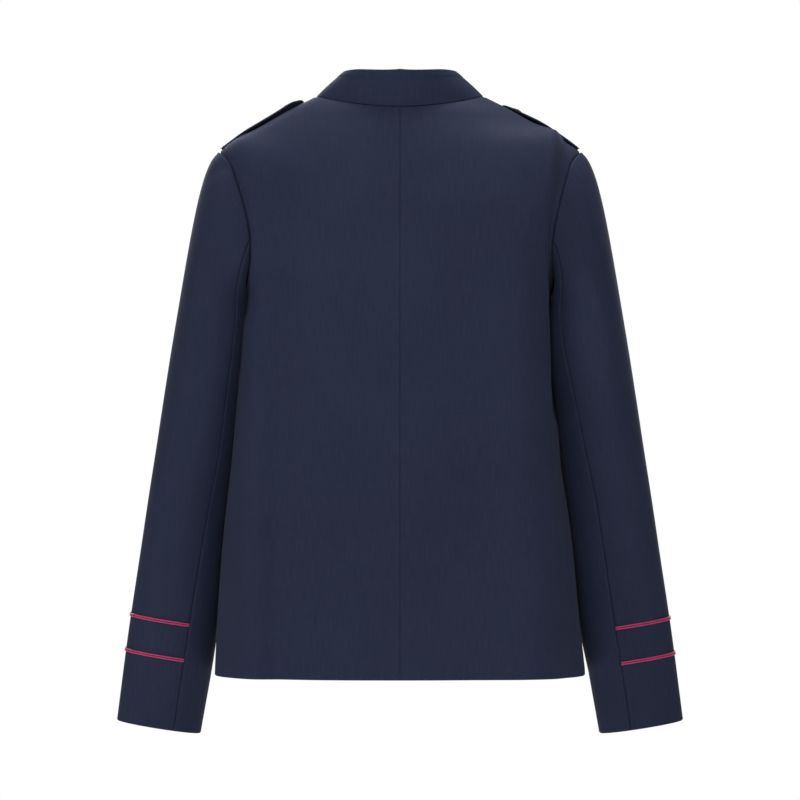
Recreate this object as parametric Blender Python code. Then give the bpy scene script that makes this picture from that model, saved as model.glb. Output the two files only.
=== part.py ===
"""Stand-collar military-style jacket, hollow and filled out as if worn, built from its sewn pieces.

Metres, +Z up. The front faces -Y and the wearer's left is +X. The origin is level with the
side of the neck, midway between the shoulders, where the wearer's shoulders carry the jacket.
The left half is worked out from the tables below and the right half mirrors it, apart from
the folds, the front lap and the epaulettes' lift, which have a row or a sign for each side.
"""

import math
from collections import namedtuple

import bmesh
import bpy
import numpy as np
from mathutils import Vector

# Walls and gaps
CLOTH = 0.002
COLLAR_WALL = 0.003
STRAP_WALL = 0.0022
SEAM_GAP = 0.0004
RESTING_GAP = 0.0004
LEAST_MITRE = 0.45

# Landmarks of the cut
NECK_SIDE = 0.087
SHOULDER_TIP_HEIGHT = -0.059
UNDERARM_HEIGHT = -0.200
HEM_HEIGHT = -0.607
LAP = 0.020
LAP_RAMP = 0.035

# The torso is a stack of level rings. Each half ring is a superellipse: half_width across,
# back or front deep, and squareness is its exponent.
Ring = namedtuple("Ring", "height half_width back front squareness")
RINGS = [
    Ring(0.000, 0.0870, 0.0340, 0.0300, 2.10),
    Ring(-0.0125, 0.1117, 0.0490, 0.0345, 2.10),
    Ring(-0.0277, 0.1389, 0.0590, 0.0410, 2.10),
    Ring(-0.0432, 0.1648, 0.0680, 0.0480, 2.10),
    Ring(-0.059, 0.1890, 0.0755, 0.0558, 2.10),
    Ring(-0.075, 0.1985, 0.0820, 0.0635, 2.13),
    Ring(-0.095, 0.2010, 0.0890, 0.0725, 2.18),
    Ring(-0.120, 0.1975, 0.0960, 0.0838, 2.25),
    Ring(-0.150, 0.1870, 0.1010, 0.0955, 2.34),
    Ring(-0.180, 0.1725, 0.1030, 0.1050, 2.43),
    Ring(-0.200, 0.1625, 0.1035, 0.1105, 2.48),
    Ring(-0.235, 0.1600, 0.1035, 0.1165, 2.52),
    Ring(-0.270, 0.1620, 0.1025, 0.1180, 2.55),
    Ring(-0.320, 0.1670, 0.1005, 0.1165, 2.60),
    Ring(-0.380, 0.1735, 0.0990, 0.1135, 2.60),
    Ring(-0.450, 0.1830, 0.0985, 0.1110, 2.60),
    Ring(-0.530, 0.1900, 0.0990, 0.1090, 2.60),
    Ring(-0.620, 0.1950, 0.1000, 0.1080, 2.60),
]

# How far out the armhole seam runs at each height, on the back and on the front.
Armhole = namedtuple("Armhole", "height back front")
ARMHOLE = [
    Armhole(-0.059, 0.1890, 0.1890),
    Armhole(-0.069, 0.1800, 0.1780),
    Armhole(-0.090, 0.1715, 0.1680),
    Armhole(-0.119, 0.1630, 0.1570),
    Armhole(-0.149, 0.1570, 0.1510),
    Armhole(-0.170, 0.1565, 0.1510),
    Armhole(-0.185, 0.1580, 0.1540),
    Armhole(-0.200, 0.1625, 0.1625),
]
ARMHOLE_LEAN = {"left": -0.0018, "right": 0.0018}

# Soft vertical troughs (positive depth) and ridges (negative depth), hung from the shoulder
# blades and the bust. across is where the fold's line crosses its upper and lower ends.
Fold = namedtuple("Fold", "side panel across_top across_low top low spread depth")
FOLDS = [
    Fold("left", "back", 0.158, 0.150, -0.060, -0.150, 0.009, 0.0030),
    Fold("left", "back", 0.145, 0.150, -0.080, -0.330, 0.012, -0.0022),
    Fold("left", "back", 0.124, 0.132, -0.150, -0.600, 0.019, 0.0042),
    Fold("left", "back", 0.060, 0.050, -0.280, -0.640, 0.026, -0.0018),
    Fold("right", "back", 0.157, 0.152, -0.075, -0.200, 0.011, 0.0042),
    Fold("right", "back", 0.142, 0.146, -0.050, -0.160, 0.011, -0.0022),
    Fold("right", "back", 0.088, 0.096, -0.160, -0.640, 0.030, -0.0034),
    Fold("right", "back", 0.150, 0.166, -0.260, -0.640, 0.016, 0.0030),
    Fold("left", "front", 0.148, 0.142, -0.080, -0.210, 0.011, 0.0034),
    Fold("left", "front", 0.122, 0.138, -0.240, -0.640, 0.020, 0.0036),
    Fold("left", "front", 0.078, 0.086, -0.230, -0.640, 0.024, -0.0024),
    Fold("right", "front", 0.146, 0.140, -0.075, -0.190, 0.010, 0.0030),
    Fold("right", "front", 0.114, 0.126, -0.260, -0.640, 0.022, 0.0040),
    Fold("right", "front", 0.072, 0.084, -0.220, -0.640, 0.026, -0.0026),
]
FOLD_FADE = 0.030
SEAM_FADE = 0.016

# The sleeve's cross-sections below the armhole: half_width on the outer side and half_inner
# on the side that lies against the body. tilt turns the outer end up, in degrees.
Section = namedtuple("Section", "height across deep half_width half_inner half_depth tilt")
SLEEVE = [
    Section(-0.222, 0.2005, -0.002, 0.0320, 0.0435, 0.0620, 0.0),
    Section(-0.267, 0.2050, -0.004, 0.0350, 0.0465, 0.0605, 2.0),
    Section(-0.319, 0.2108, -0.008, 0.0375, 0.0470, 0.0575, 4.0),
    Section(-0.371, 0.2172, -0.013, 0.0392, 0.0475, 0.0530, 5.5),
    Section(-0.424, 0.2248, -0.019, 0.0402, 0.0480, 0.0490, 7.0),
    Section(-0.487, 0.2330, -0.027, 0.0418, 0.0490, 0.0455, 8.3),
    Section(-0.571, 0.2440, -0.038, 0.0440, 0.0495, 0.0400, 9.2),
    Section(-0.665, 0.2560, -0.051, 0.0450, 0.0450, 0.0365, 9.1),
]
SLEEVE_SQUARENESS = 2.15
ARM_CLEARANCE = 0.0012
ARM_SOFTNESS = 0.003
ARM_RAMP = 0.012

# How the sleeve head leaves the armhole, by the angle round the seam: 0 at the shoulder,
# 90 at the back, 180 under the arm, 270 at the front. The first three columns are the
# cloth's direction out of the seam, and run is how far it follows the sleeve's own line.
Head = namedtuple("Head", "angle out back up run")
SLEEVE_HEAD = [
    Head(0, 0.018, 0.000, -0.008, 0.098),
    Head(40, 0.017, 0.006, -0.010, 0.085),
    Head(80, 0.014, 0.006, -0.016, 0.040),
    Head(115, 0.009, 0.005, -0.014, 0.018),
    Head(150, 0.005, 0.005, -0.009, 0.010),
    Head(180, 0.003, 0.000, -0.007, 0.007),
    Head(210, 0.005, -0.005, -0.009, 0.010),
    Head(245, 0.009, -0.005, -0.014, 0.018),
    Head(280, 0.014, -0.006, -0.016, 0.040),
    Head(320, 0.017, -0.006, -0.010, 0.085),
    Head(360, 0.018, 0.000, -0.008, 0.098),
]

# Where the two lengthwise sleeve seams lie, as angles round each sleeve.
SEAM_START = 110
SleeveSeam = namedtuple("SleeveSeam", "height back_left back_right front")
SLEEVE_SEAMS = [
    SleeveSeam(-0.156, SEAM_START, SEAM_START, 360 - SEAM_START),
    SleeveSeam(-0.222, 128.5, 130.0, 240.0),
    SleeveSeam(-0.267, 127.7, 126.0, 239.0),
    SleeveSeam(-0.319, 128.2, 121.0, 238.5),
    SleeveSeam(-0.371, 126.9, 115.2, 238.5),
    SleeveSeam(-0.424, 122.1, 110.8, 239.0),
    SleeveSeam(-0.487, 116.9, 108.4, 239.5),
    SleeveSeam(-0.571, 112.7, 106.7, 239.0),
    SleeveSeam(-0.665, 111.5, 105.0, 236.0),
]

# The stand collar. Its foot is on the neck seam, and angle 0 is the centre back.
NECK_BACK = 0.050
NECK_FRONT = 0.062
COLLAR_TOP_SIDE = 0.059
COLLAR_TOP_BACK = 0.046
COLLAR_TOP_FRONT = 0.057
COLLAR_END = 0.0016
CollarRise = namedtuple("CollarRise", "angle rise")
COLLAR_RISES = [
    CollarRise(0, 0.0382),
    CollarRise(45, 0.0330),
    CollarRise(90, 0.0250),
    CollarRise(135, 0.0310),
    CollarRise(180, 0.0340),
]
COLLAR_BOW = 0.0012

# Shoulder straps, sewn in at the armhole and buttoned at the neck end.
STRAP_START = 0.1865
STRAP_LENGTH = {"left": 0.086, "right": 0.081}
STRAP_HALF_SEWN = 0.022
STRAP_HALF_FREE = 0.018
STRAP_CENTRE = -0.013
STRAP_POINT = 0.012
STRAP_LAY_DOWN = 0.030
STRAP_SLOPE = 0.30
STRAP_DRAPE = {"left": 0.35, "right": 0.80}
STRAP_FROM_SEAM = 0.0025
StrapLift = namedtuple("StrapLift", "along left right")
STRAP_LIFTS = [
    StrapLift(0.000, 0.0000, 0.0000),
    StrapLift(0.020, 0.0010, 0.0020),
    StrapLift(0.040, 0.0012, 0.0028),
    StrapLift(0.058, 0.0020, 0.0012),
    StrapLift(0.075, 0.0034, 0.0001),
    StrapLift(0.090, 0.0020, 0.0001),
]

# Cuff braid: two narrow bands round each upper sleeve piece, by their distance from the cuff.
BRAID_WIDTH = 0.0042
BRAID_HEIGHT = 0.0013
BRAID_END = 1.0
Braid = namedtuple("Braid", "place left right")
BRAIDS = [
    Braid("lower", 0.0755, 0.0715),
    Braid("upper", 0.1130, 0.1090),
]

# Plain domed shank buttons
FRONT_BUTTONS = 6
FRONT_BUTTON_TOP = -0.094
FRONT_BUTTON_PITCH = 0.088
FRONT_BUTTON_RADIUS = 0.0095
FRONT_BUTTON_HEIGHT = 0.0060
STRAP_BUTTON_RADIUS = 0.0072
STRAP_BUTTON_HEIGHT = 0.0036
STRAP_BUTTON_PLACE = 0.81
BUTTON_SIDES = 20

# Mesh steps. Pieces that meet at a seam share its points.
NECK_STEPS = 6
SHOULDER_STEPS = 5
UPPER_ARMHOLE_STEPS = 6
UNDER_ARMHOLE_STEPS = 3
SIDE_STEPS = 11
HEAD_STEPS = 6
ARM_STEPS = 11
COLLAR_ROWS = 3
STRAP_STEPS = 12
STRAP_ROWS = 6
BRAID_STEPS = 20

Colour = namedtuple("Colour", "hexed roughness metallic")
NAVY = Colour("2b3145", 0.62, 0.0)
CRIMSON = Colour("b5315a", 0.5, 0.0)
BRASS = Colour("b08d4f", 0.32, 1.0)


def column(rows, name):
    return np.array([getattr(row, name) for row in rows])


def smooth(rows, key, value, at):
    """A column's value at a key, on the smooth curve through the table's rows."""
    keys = column(rows, key)
    values = column(rows, value)
    if keys[0] > keys[-1]:
        keys, values = keys[::-1], values[::-1]
    slopes = np.gradient(values, keys)
    at = min(max(at, keys[0]), keys[-1])
    i = int(min(np.searchsorted(keys, at, side="right"), len(keys) - 1)) - 1
    span = keys[i + 1] - keys[i]
    t = (at - keys[i]) / span
    rest = 1 - t
    return float(
        values[i] * rest * rest * (1 + 2 * t)
        + values[i + 1] * t * t * (3 - 2 * t)
        + slopes[i] * span * t * rest * rest
        - slopes[i + 1] * span * t * t * rest
    )


def ease(t):
    """0 to 1, level at both ends."""
    t = min(max(t, 0.0), 1.0)
    return t * t * (3 - 2 * t)


def mix(a, b, t):
    return a + (b - a) * t


# The torso's form


def ring_at(height, panel):
    """Half width, depth and exponent of the torso's half ring at a height."""
    return (
        smooth(RINGS, "height", "half_width", height),
        smooth(RINGS, "height", panel, height),
        smooth(RINGS, "height", "squareness", height),
    )


def toward(panel):
    return 1 if panel == "back" else -1


def form_value(point, panel):
    """1 on the torso's form, and less inside it."""
    width, depth, power = ring_at(point.z, panel)
    return (abs(point.x) / width) ** power + (abs(point.y) / depth) ** power


def on_form(across, height, panel):
    """The point of the torso's form at a place in the front or back elevation."""
    width, depth, power = ring_at(height, panel)
    left_over = max(0.0, 1 - (abs(across) / width) ** power)
    return Vector((across, toward(panel) * depth * left_over ** (1 / power), height))


def form_normal(point, panel):
    """Outward direction of the torso's form, from the slopes of form_value."""
    step = 0.0004
    slopes = []
    for axis in range(3):
        move = Vector((0, 0, 0))
        move[axis] = step
        slopes.append(form_value(point + move, panel) - form_value(point - move, panel))
    if abs(point.y) < step:
        slopes[1] = 0.0
    return Vector(slopes).normalized()


def form_height(across, deep):
    """Height of the torso's upper side over a place in plan, found by halving."""
    panel = "back" if deep >= 0 else "front"
    high, low = 0.0, -0.20
    for _ in range(40):
        middle = (high + low) / 2
        if form_value(Vector((across, deep, middle)), panel) > 1:
            high = middle
        else:
            low = middle
    return low


def neck_point(angle):
    """A point of the neck seam. The angle runs from the centre back, in degrees."""
    turn = math.radians(angle)
    depth = NECK_BACK if math.cos(turn) >= 0 else NECK_FRONT
    across, deep = NECK_SIDE * math.sin(turn), depth * math.cos(turn)
    return Vector((across, deep, form_height(across, deep)))


def ridge_point(across):
    """A point of the shoulder seam, on the torso's top ridge."""
    return Vector((across, 0, form_height(across, 0)))


def armhole_angles():
    """The seam's points down one side, from the shoulder to the underarm."""
    upper = [SEAM_START * k / UPPER_ARMHOLE_STEPS for k in range(UPPER_ARMHOLE_STEPS)]
    under = [
        mix(SEAM_START, 180, k / UNDER_ARMHOLE_STEPS) for k in range(UNDER_ARMHOLE_STEPS + 1)
    ]
    return upper + under


def armhole_point(angle, side):
    """A point of the armhole seam: 0 at the shoulder, 90 at the back, 180 under the arm."""
    middle = (SHOULDER_TIP_HEIGHT + UNDERARM_HEIGHT) / 2
    height = middle + (SHOULDER_TIP_HEIGHT - middle) * math.cos(math.radians(angle))
    panel = "back" if angle % 360 <= 180 else "front"
    across = smooth(ARMHOLE, "height", panel, height)
    across += ARMHOLE_LEAN[side] * math.sin(math.radians(angle)) ** 2
    return on_form(across, height, panel)


def armhole_mitre(angle, side):
    """How the walls' end faces stand at the armhole: halfway between body and sleeve."""
    panel = "back" if angle % 360 <= 180 else "front"
    body = form_normal(armhole_point(angle, side), panel)
    sleeve = sleeve_normal(angle, 0, side)
    middle = (body + sleeve).normalized()
    return middle / max(middle.dot(body), LEAST_MITRE)


# Front and back panels


def top_point(column_number, panel):
    """The panel's upper edge: the neck seam, then the shoulder seam."""
    if column_number <= NECK_STEPS:
        quarter = 90 * column_number / NECK_STEPS
        return neck_point(quarter if panel == "back" else 180 - quarter)
    tip = smooth(ARMHOLE, "height", "back", SHOULDER_TIP_HEIGHT)
    t = (column_number - NECK_STEPS) / SHOULDER_STEPS
    return ridge_point(mix(NECK_SIDE, tip, t))


def fold_depth(point, side, panel, from_seam):
    """How far the cloth's folds move a point inwards."""
    depth = 0.0
    for fold in FOLDS:
        if fold.side != side or fold.panel != panel:
            continue
        t = (point.z - fold.top) / (fold.low - fold.top)
        middle = mix(fold.across_top, fold.across_low, min(max(t, 0.0), 1.0))
        shape = math.exp(-(((abs(point.x) - middle) / fold.spread) ** 2))
        shape *= ease((fold.top - point.z) / FOLD_FADE + 0.5)
        shape *= ease((point.z - fold.low) / FOLD_FADE + 0.5)
        depth += fold.depth * shape
    return depth * ease(from_seam / SEAM_FADE)


def yoke_row(angle, side, panel, top):
    """A row of points from the centre line out to the armhole at an angle."""
    seam = armhole_point(angle, side)
    share = (1 + math.cos(math.radians(angle))) / 2
    width = ring_at(seam.z, panel)[0]
    reach = math.asin(min(1.0, seam.x / width))
    row = []
    for c, above in enumerate(top):
        even = width * math.sin(reach * c / (len(top) - 1))
        across = mix(even, above.x * seam.x / top[-1].x, ease(share) ** 0.5)
        row.append(on_form(across, mix(UNDERARM_HEIGHT, above.z, share), panel))
    row[-1] = seam
    return row


def body_row(t, panel, first):
    """A row below the armhole's upper part. t is 0 at the first such row and 1 at the hem."""
    row = []
    for c, above in enumerate(first):
        height = mix(above.z, HEM_HEIGHT, t)
        turn = math.asin(min(1.0, above.x / ring_at(above.z, panel)[0]))
        even = math.pi / 2 * c / (len(first) - 1)
        across = ring_at(height, panel)[0] * math.sin(mix(turn, even, t))
        row.append(on_form(across, height, panel))
    return row


def panel_grid(side, panel):
    """Outer points and outward directions of a front or back panel, row by row.

    The rows end at the armhole's upper part, and from there down they reach on under the arm.
    """
    top = [top_point(c, panel) for c in range(NECK_STEPS + SHOULDER_STEPS + 1)]
    angles = [a if panel == "back" else 360 - a for a in armhole_angles()]
    last = UPPER_ARMHOLE_STEPS
    points = [top] + [yoke_row(a, side, panel, top) for a in angles[1 : last + 1]]
    points[last] += [armhole_point(a, side) for a in angles[last + 1 :]]
    first = points[last]
    points += [body_row(r / SIDE_STEPS, panel, first) for r in range(1, SIDE_STEPS + 1)]
    normals = [[form_normal(p, panel) for p in row] for row in points]
    for row, angle in zip(normals, angles[:last]):
        row[-1] = armhole_mitre(angle, side)
    normals[last][-len(angles[last:]) :] = [armhole_mitre(a, side) for a in angles[last:]]
    for r, row in enumerate(points):
        for c, point in enumerate(row):
            above = top[c] if c < len(top) - 1 else first[c]
            from_seam = min((row[-1] - point).length, (above - point).length)
            fold = fold_depth(point, side, panel, from_seam)
            row[c] = point - normals[r][c] * fold
    if panel == "front":
        add_lap(points, normals, side)
    if side == "right":
        points = [[mirrored(p) for p in row] for row in points]
        normals = [[mirrored(n) for n in row] for row in normals]
    return points, normals


def add_lap(points, normals, side):
    """Carries a front panel past the centre line. The right front laps over the left one."""
    over = CLOTH + 2 * RESTING_GAP if side == "right" else 0.0
    for r, row in enumerate(points):
        edge = on_form(-LAP, neck_edge_height(row[0].z, r), "front")
        added = [edge, on_form(-LAP / 2, mix(edge.z, row[0].z, 0.5), "front")]
        row[:0] = added
        normals[r][:0] = [form_normal(p, "front") for p in added]
        for c, point in enumerate(row):
            lift = over * ease(1 - (point.x - LAP - RESTING_GAP) / LAP_RAMP)
            row[c] = point + normals[r][c] * lift


def neck_edge_height(centre_height, row):
    """Height of the lap's edge: on the neck seam in the first row, and level below it."""
    if row:
        return centre_height
    turn = math.acos(math.sqrt(1 - (LAP / NECK_SIDE) ** 2))
    return form_height(LAP, -NECK_FRONT * math.cos(turn))


# Sleeves


def beside_body(point):
    """Holds a point of the sleeve softly clear of the body's side, below the underarm."""
    if point.z > UNDERARM_HEIGHT:
        return point
    width, depth, power = ring_at(point.z, "back" if point.y >= 0 else "front")
    side = width * max(0.0, 1 - (abs(point.y) / depth) ** power) ** (1 / power)
    ramp = ease((UNDERARM_HEIGHT - point.z) / ARM_RAMP)
    nearest = side + ARM_CLEARANCE * ramp
    room = point.x - nearest
    return Vector((nearest + (room + math.hypot(room, ARM_SOFTNESS * ramp)) / 2, *point.yz))


def arm_point(angle, height):
    """A point of the sleeve's tube below the armhole."""
    get = lambda name: smooth(SLEEVE, "height", name, height)
    turn, tilt = math.radians(angle), math.radians(get("tilt"))
    power = 2 / SLEEVE_SQUARENESS
    cos, sin = math.cos(turn), math.sin(turn)
    out = math.copysign(abs(cos) ** power, cos)
    out *= get("half_width") if cos >= 0 else get("half_inner")
    back = math.copysign(abs(sin) ** power, sin) * get("half_depth")
    point = (
        get("across") + out * math.cos(tilt),
        get("deep") + back,
        height + out * math.sin(tilt),
    )
    return beside_body(Vector(point))


def head_point(angle, t, side):
    """A point of the sleeve head, on a cubic curve from the armhole to the sleeve's tube."""
    angle %= 360
    get = lambda name: smooth(SLEEVE_HEAD, "angle", name, angle)
    start = armhole_point(angle, side)
    end = arm_point(angle, SLEEVE[0].height)
    along = (arm_point(angle, SLEEVE[0].height - 0.002) - end).normalized()
    first = start + Vector((get("out"), get("back"), get("up")))
    second = end - along * get("run")
    rest = 1 - t
    return beside_body(
        start * rest**3
        + first * 3 * t * rest * rest
        + second * 3 * t * t * rest
        + end * t**3
    )


def sleeve_point(angle, along, side):
    """A point of the sleeve: along is 0 to 1 over the head and 1 to 2 down to the cuff."""
    if along <= 1:
        return head_point(angle, along, side)
    return arm_point(angle % 360, mix(SLEEVE[0].height, SLEEVE[-1].height, along - 1))


def sleeve_normal(angle, along, side):
    """Outward direction of the sleeve, from its points just round it and just along it."""
    step, turn = 0.002, 0.5
    low, high = max(0.0, along - step), min(2.0, along + step)
    down = sleeve_point(angle, high, side) - sleeve_point(angle, low, side)
    before = sleeve_point(angle - turn, along, side)
    after = sleeve_point(angle + turn, along, side)
    return down.cross(after - before).normalized()


def seam_angle(which, along, side):
    """Angle of a lengthwise seam at a place along the sleeve."""
    if along >= 1:
        height = mix(SLEEVE[0].height, SLEEVE[-1].height, along - 1)
    else:
        height = mix(SLEEVE_SEAMS[0].height, SLEEVE[0].height, along)
    column_name = f"back_{side}" if which == "back" else "front"
    return smooth(SLEEVE_SEAMS, "height", column_name, height)


def sleeve_stops():
    head = [t / HEAD_STEPS for t in range(HEAD_STEPS)]
    return head + [1 + t / ARM_STEPS for t in range(ARM_STEPS + 1)]


def sleeve_grid(which, side):
    """Outer points and directions of the upper or under sleeve piece."""
    steps = 2 * (UPPER_ARMHOLE_STEPS if which == "upper" else UNDER_ARMHOLE_STEPS)
    points, normals = [], []
    for along in sleeve_stops():
        back, front = seam_angle("back", along, side), seam_angle("front", along, side)
        start, stop = (front - 360, back) if which == "upper" else (back, front)
        angles = [mix(start, stop, c / steps) for c in range(steps + 1)]
        points.append([sleeve_point(a, along, side) for a in angles])
        normals.append([sleeve_normal(a, along, side) for a in angles])
        if along == 0:
            normals[0] = [armhole_mitre(a, side) for a in angles]
    if side == "right":
        points = [[mirrored(p) for p in row] for row in points]
        normals = [[mirrored(n) for n in row] for row in normals]
    return points, normals


def braid_grid(from_cuff, side):
    """Middle line and directions of a braid band, as two rows half its width apart."""
    length = SLEEVE[0].height - SLEEVE[-1].height
    points, normals = [], []
    for edge in (-0.5, 0.5):
        along = 2 - (from_cuff + edge * BRAID_WIDTH) / length
        start = seam_angle("front", along, side) - 360 + BRAID_END
        stop = seam_angle("back", along, side) - BRAID_END
        angles = [mix(start, stop, c / BRAID_STEPS) for c in range(BRAID_STEPS + 1)]
        row = [sleeve_normal(a, along, side) for a in angles]
        lift = RESTING_GAP + BRAID_HEIGHT
        points.append([sleeve_point(a, along, side) + n * lift for a, n in zip(angles, row)])
        normals.append(row)
    if side == "right":
        points = [[mirrored(p) for p in row] for row in points]
        normals = [[mirrored(n) for n in row] for row in normals]
    return points, normals


# Collar


def collar_grid():
    """Outer points and directions of the stand collar, from its foot to its top edge."""
    end = 180 - math.degrees(math.asin(COLLAR_END / NECK_SIDE))
    half = [90 * c / NECK_STEPS for c in range(2 * NECK_STEPS)] + [end]
    angles = [-a for a in half[:0:-1]] + half
    points = []
    for row in range(COLLAR_ROWS + 1):
        points.append([collar_point(a, row / COLLAR_ROWS) for a in angles])
    return points, grid_normals(points, outward=lambda p: Vector((p.x, p.y, 0)))


def collar_point(angle, t):
    turn = math.radians(abs(angle))
    foot = neck_point(abs(angle))
    depth = COLLAR_TOP_BACK if math.cos(turn) >= 0 else COLLAR_TOP_FRONT
    rise = smooth(COLLAR_RISES, "angle", "rise", abs(angle))
    top = Vector((COLLAR_TOP_SIDE * math.sin(turn), depth * math.cos(turn), foot.z + rise))
    lift = Vector((math.sin(turn), math.cos(turn), 0)) * COLLAR_BOW * 4 * t * (1 - t)
    raised = (top - foot).normalized() * SEAM_GAP
    point = mix(foot + raised, top, t) + lift
    if angle < 0:
        point.x = -point.x
    return point


# Shoulder straps


def armhole_across(deep, side):
    """How far out the armhole seam runs over a place in plan, found by halving."""
    low, high = 0.0, 90.0
    for _ in range(30):
        middle = (low + high) / 2
        if abs(armhole_point(middle if deep >= 0 else 360 - middle, side).y) < abs(deep):
            low = middle
        else:
            high = middle
    return armhole_point(low if deep >= 0 else 360 - low, side).x


def strap_under(share, t, side):
    """A point of the strap's underside: share is -1 to 1 across, t is 1 at the neck end."""
    deep = STRAP_CENTRE + share * mix(STRAP_HALF_SEWN, STRAP_HALF_FREE, t)
    start = armhole_across(deep, side) - STRAP_FROM_SEAM
    tip = STRAP_START - STRAP_LENGTH[side] + STRAP_POINT * share * share
    across = mix(start, tip, t)
    along = STRAP_START - across
    lift = smooth(STRAP_LIFTS, "along", side, along) + RESTING_GAP
    hugged = form_height(across, deep)
    flat = form_height(across, STRAP_CENTRE) + (deep - STRAP_CENTRE) * STRAP_SLOPE
    laid = mix(flat, hugged, STRAP_DRAPE[side])
    laid = mix(hugged, laid, ease(along / STRAP_LAY_DOWN))
    return Vector((across, deep, max(hugged, laid) + lift))


def strap_normal(share, t, side):
    step = 0.02
    forward = strap_under(share, t + step, side) - strap_under(share, t - step, side)
    sideways = strap_under(share + step, t, side) - strap_under(share - step, t, side)
    return sideways.cross(forward).normalized()


def strap_grid(side):
    points = []
    for r in range(STRAP_ROWS + 1):
        share = 2 * r / STRAP_ROWS - 1
        points.append([strap_under(share, c / STRAP_STEPS, side) for c in range(STRAP_STEPS + 1)])
    normals = grid_normals(points, outward=lambda p: Vector((0, 0, 1)))
    lifted = [[p + n * STRAP_WALL for p, n in zip(*rows)] for rows in zip(points, normals)]
    if side == "right":
        lifted = [[mirrored(p) for p in row] for row in lifted]
        normals = [[mirrored(n) for n in row] for row in normals]
    return lifted, normals


# Solids


def mirrored(v):
    return Vector((-v.x, v.y, v.z))


def grid_normals(points, outward):
    """Directions square to a grid of points, on the side that outward gives for a point."""
    rows, columns = len(points), len(points[0])
    normals = []
    for r in range(rows):
        row = []
        for c in range(columns):
            along = points[r][min(c + 1, columns - 1)] - points[r][max(c - 1, 0)]
            up = points[min(r + 1, rows - 1)][c] - points[max(r - 1, 0)][c]
            normal = along.cross(up).normalized()
            if normal.dot(outward(points[r][c])) < 0:
                normal.negate()
            row.append(normal)
        normals.append(row)
    return normals


def grid_point(points, r, c):
    """A grid's point, or None outside it. A grid's rows can reach further than those above."""
    inside = 0 <= r < len(points) and 0 <= c < len(points[r])
    return points[r][c] if inside else None


def drawn_in(points, gap):
    """The grid with its rim moved towards its inside, to part it from its neighbours."""
    moved = [[p.copy() for p in row] for row in points]
    for r, row in enumerate(points):
        for c, point in enumerate(row):
            on_rim = False
            for down, along in ((0, 1), (0, -1), (1, 0), (-1, 0)):
                if grid_point(points, r - down, c - along) is None:
                    inner = points[r + down][c + along]
                    moved[r][c] += (inner - point).normalized() * gap
                    on_rim = True
            if not on_rim and grid_point(points, r - 1, c + 1) is None:
                inward = (row[c - 1] - point).normalized()
                inward += (points[r + 1][c] - point).normalized()
                moved[r][c] += inward.normalized() * gap
    return moved


def rim_of(points):
    """The places of a grid's rim, in order round it."""
    rim = [(0, c) for c in range(len(points[0]))]
    for r in range(1, len(points)):
        rim += [(r, c) for c in range(len(points[r - 1]) - 1, len(points[r]))]
    rim += [(len(points) - 1, c) for c in range(len(points[-1]) - 2, -1, -1)]
    rim += [(r, 0) for r in range(len(points) - 2, 0, -1)]
    return rim


def wall(name, grid, thickness, colour, gap=SEAM_GAP / 2):
    """A closed wall: the grid is its outer face, and its inner face lies a thickness in."""
    points, normals = grid
    outer = drawn_in(points, gap)
    mesh = bmesh.new()
    out, inn = [
        [[mesh.verts.new(p - n * depth) for p, n in zip(*rows)] for rows in zip(outer, normals)]
        for depth in (0.0, thickness)
    ]
    for face in (out, inn):
        for row, below in zip(face, face[1:]):
            for c in range(min(len(row), len(below)) - 1):
                mesh.faces.new((row[c], row[c + 1], below[c + 1]))
                mesh.faces.new((row[c], below[c + 1], below[c]))
    rim = rim_of(outer)
    for (r, c), (r2, c2) in zip(rim, rim[1:] + rim[:1]):
        close_edge(mesh, (out[r][c], out[r2][c2], inn[r2][c2], inn[r][c]))
    return finish(name, mesh, colour)


def close_edge(mesh, corners):
    """Two triangles across the wall's edge, split the same way as the neighbour's edge."""
    first, second, second_inner, first_inner = corners
    if first.co.z >= second.co.z:
        mesh.faces.new((first, second, second_inner))
        mesh.faces.new((first, second_inner, first_inner))
    else:
        mesh.faces.new((first, second, first_inner))
        mesh.faces.new((second, second_inner, first_inner))


def finish(name, mesh, colour):
    bmesh.ops.recalc_face_normals(mesh, faces=mesh.faces)
    data = bpy.data.meshes.new(name)
    mesh.to_mesh(data)
    mesh.free()
    data.shade_smooth()
    data.set_sharp_from_angle(angle=math.radians(40))
    data.materials.append(material(colour))
    made = bpy.data.objects.new(name, data)
    bpy.context.scene.collection.objects.link(made)
    return made


def button(name, seat, direction, radius, height):
    """A domed shank button: a shank on the cloth, a flat back and a low dome."""
    Profile = namedtuple("Profile", "out up")
    profile = [
        Profile(0.22, 0.0),
        Profile(0.22, 0.26),
        Profile(0.86, 0.30),
        Profile(1.0, 0.42),
        Profile(0.97, 0.58),
        Profile(0.78, 0.78),
        Profile(0.42, 0.94),
    ]
    mesh = bmesh.new()
    rings = []
    for step in profile:
        ring = []
        for k in range(BUTTON_SIDES):
            turn = 2 * math.pi * k / BUTTON_SIDES
            out = radius * step.out
            spot = (out * math.cos(turn), out * math.sin(turn), height * step.up)
            ring.append(mesh.verts.new(spot))
        rings.append(ring)
    for low, high in zip(rings, rings[1:]):
        for k in range(BUTTON_SIDES):
            n = (k + 1) % BUTTON_SIDES
            mesh.faces.new((low[k], low[n], high[n], high[k]))
    mesh.faces.new(rings[0][::-1])
    crown = mesh.verts.new((0, 0, height))
    for k in range(BUTTON_SIDES):
        mesh.faces.new((rings[-1][k], rings[-1][(k + 1) % BUTTON_SIDES], crown))
    made = finish(name, mesh, BRASS)
    made.rotation_euler = direction.to_track_quat("Z", "Y").to_euler()
    made.location = seat + direction * RESTING_GAP
    return made


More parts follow.
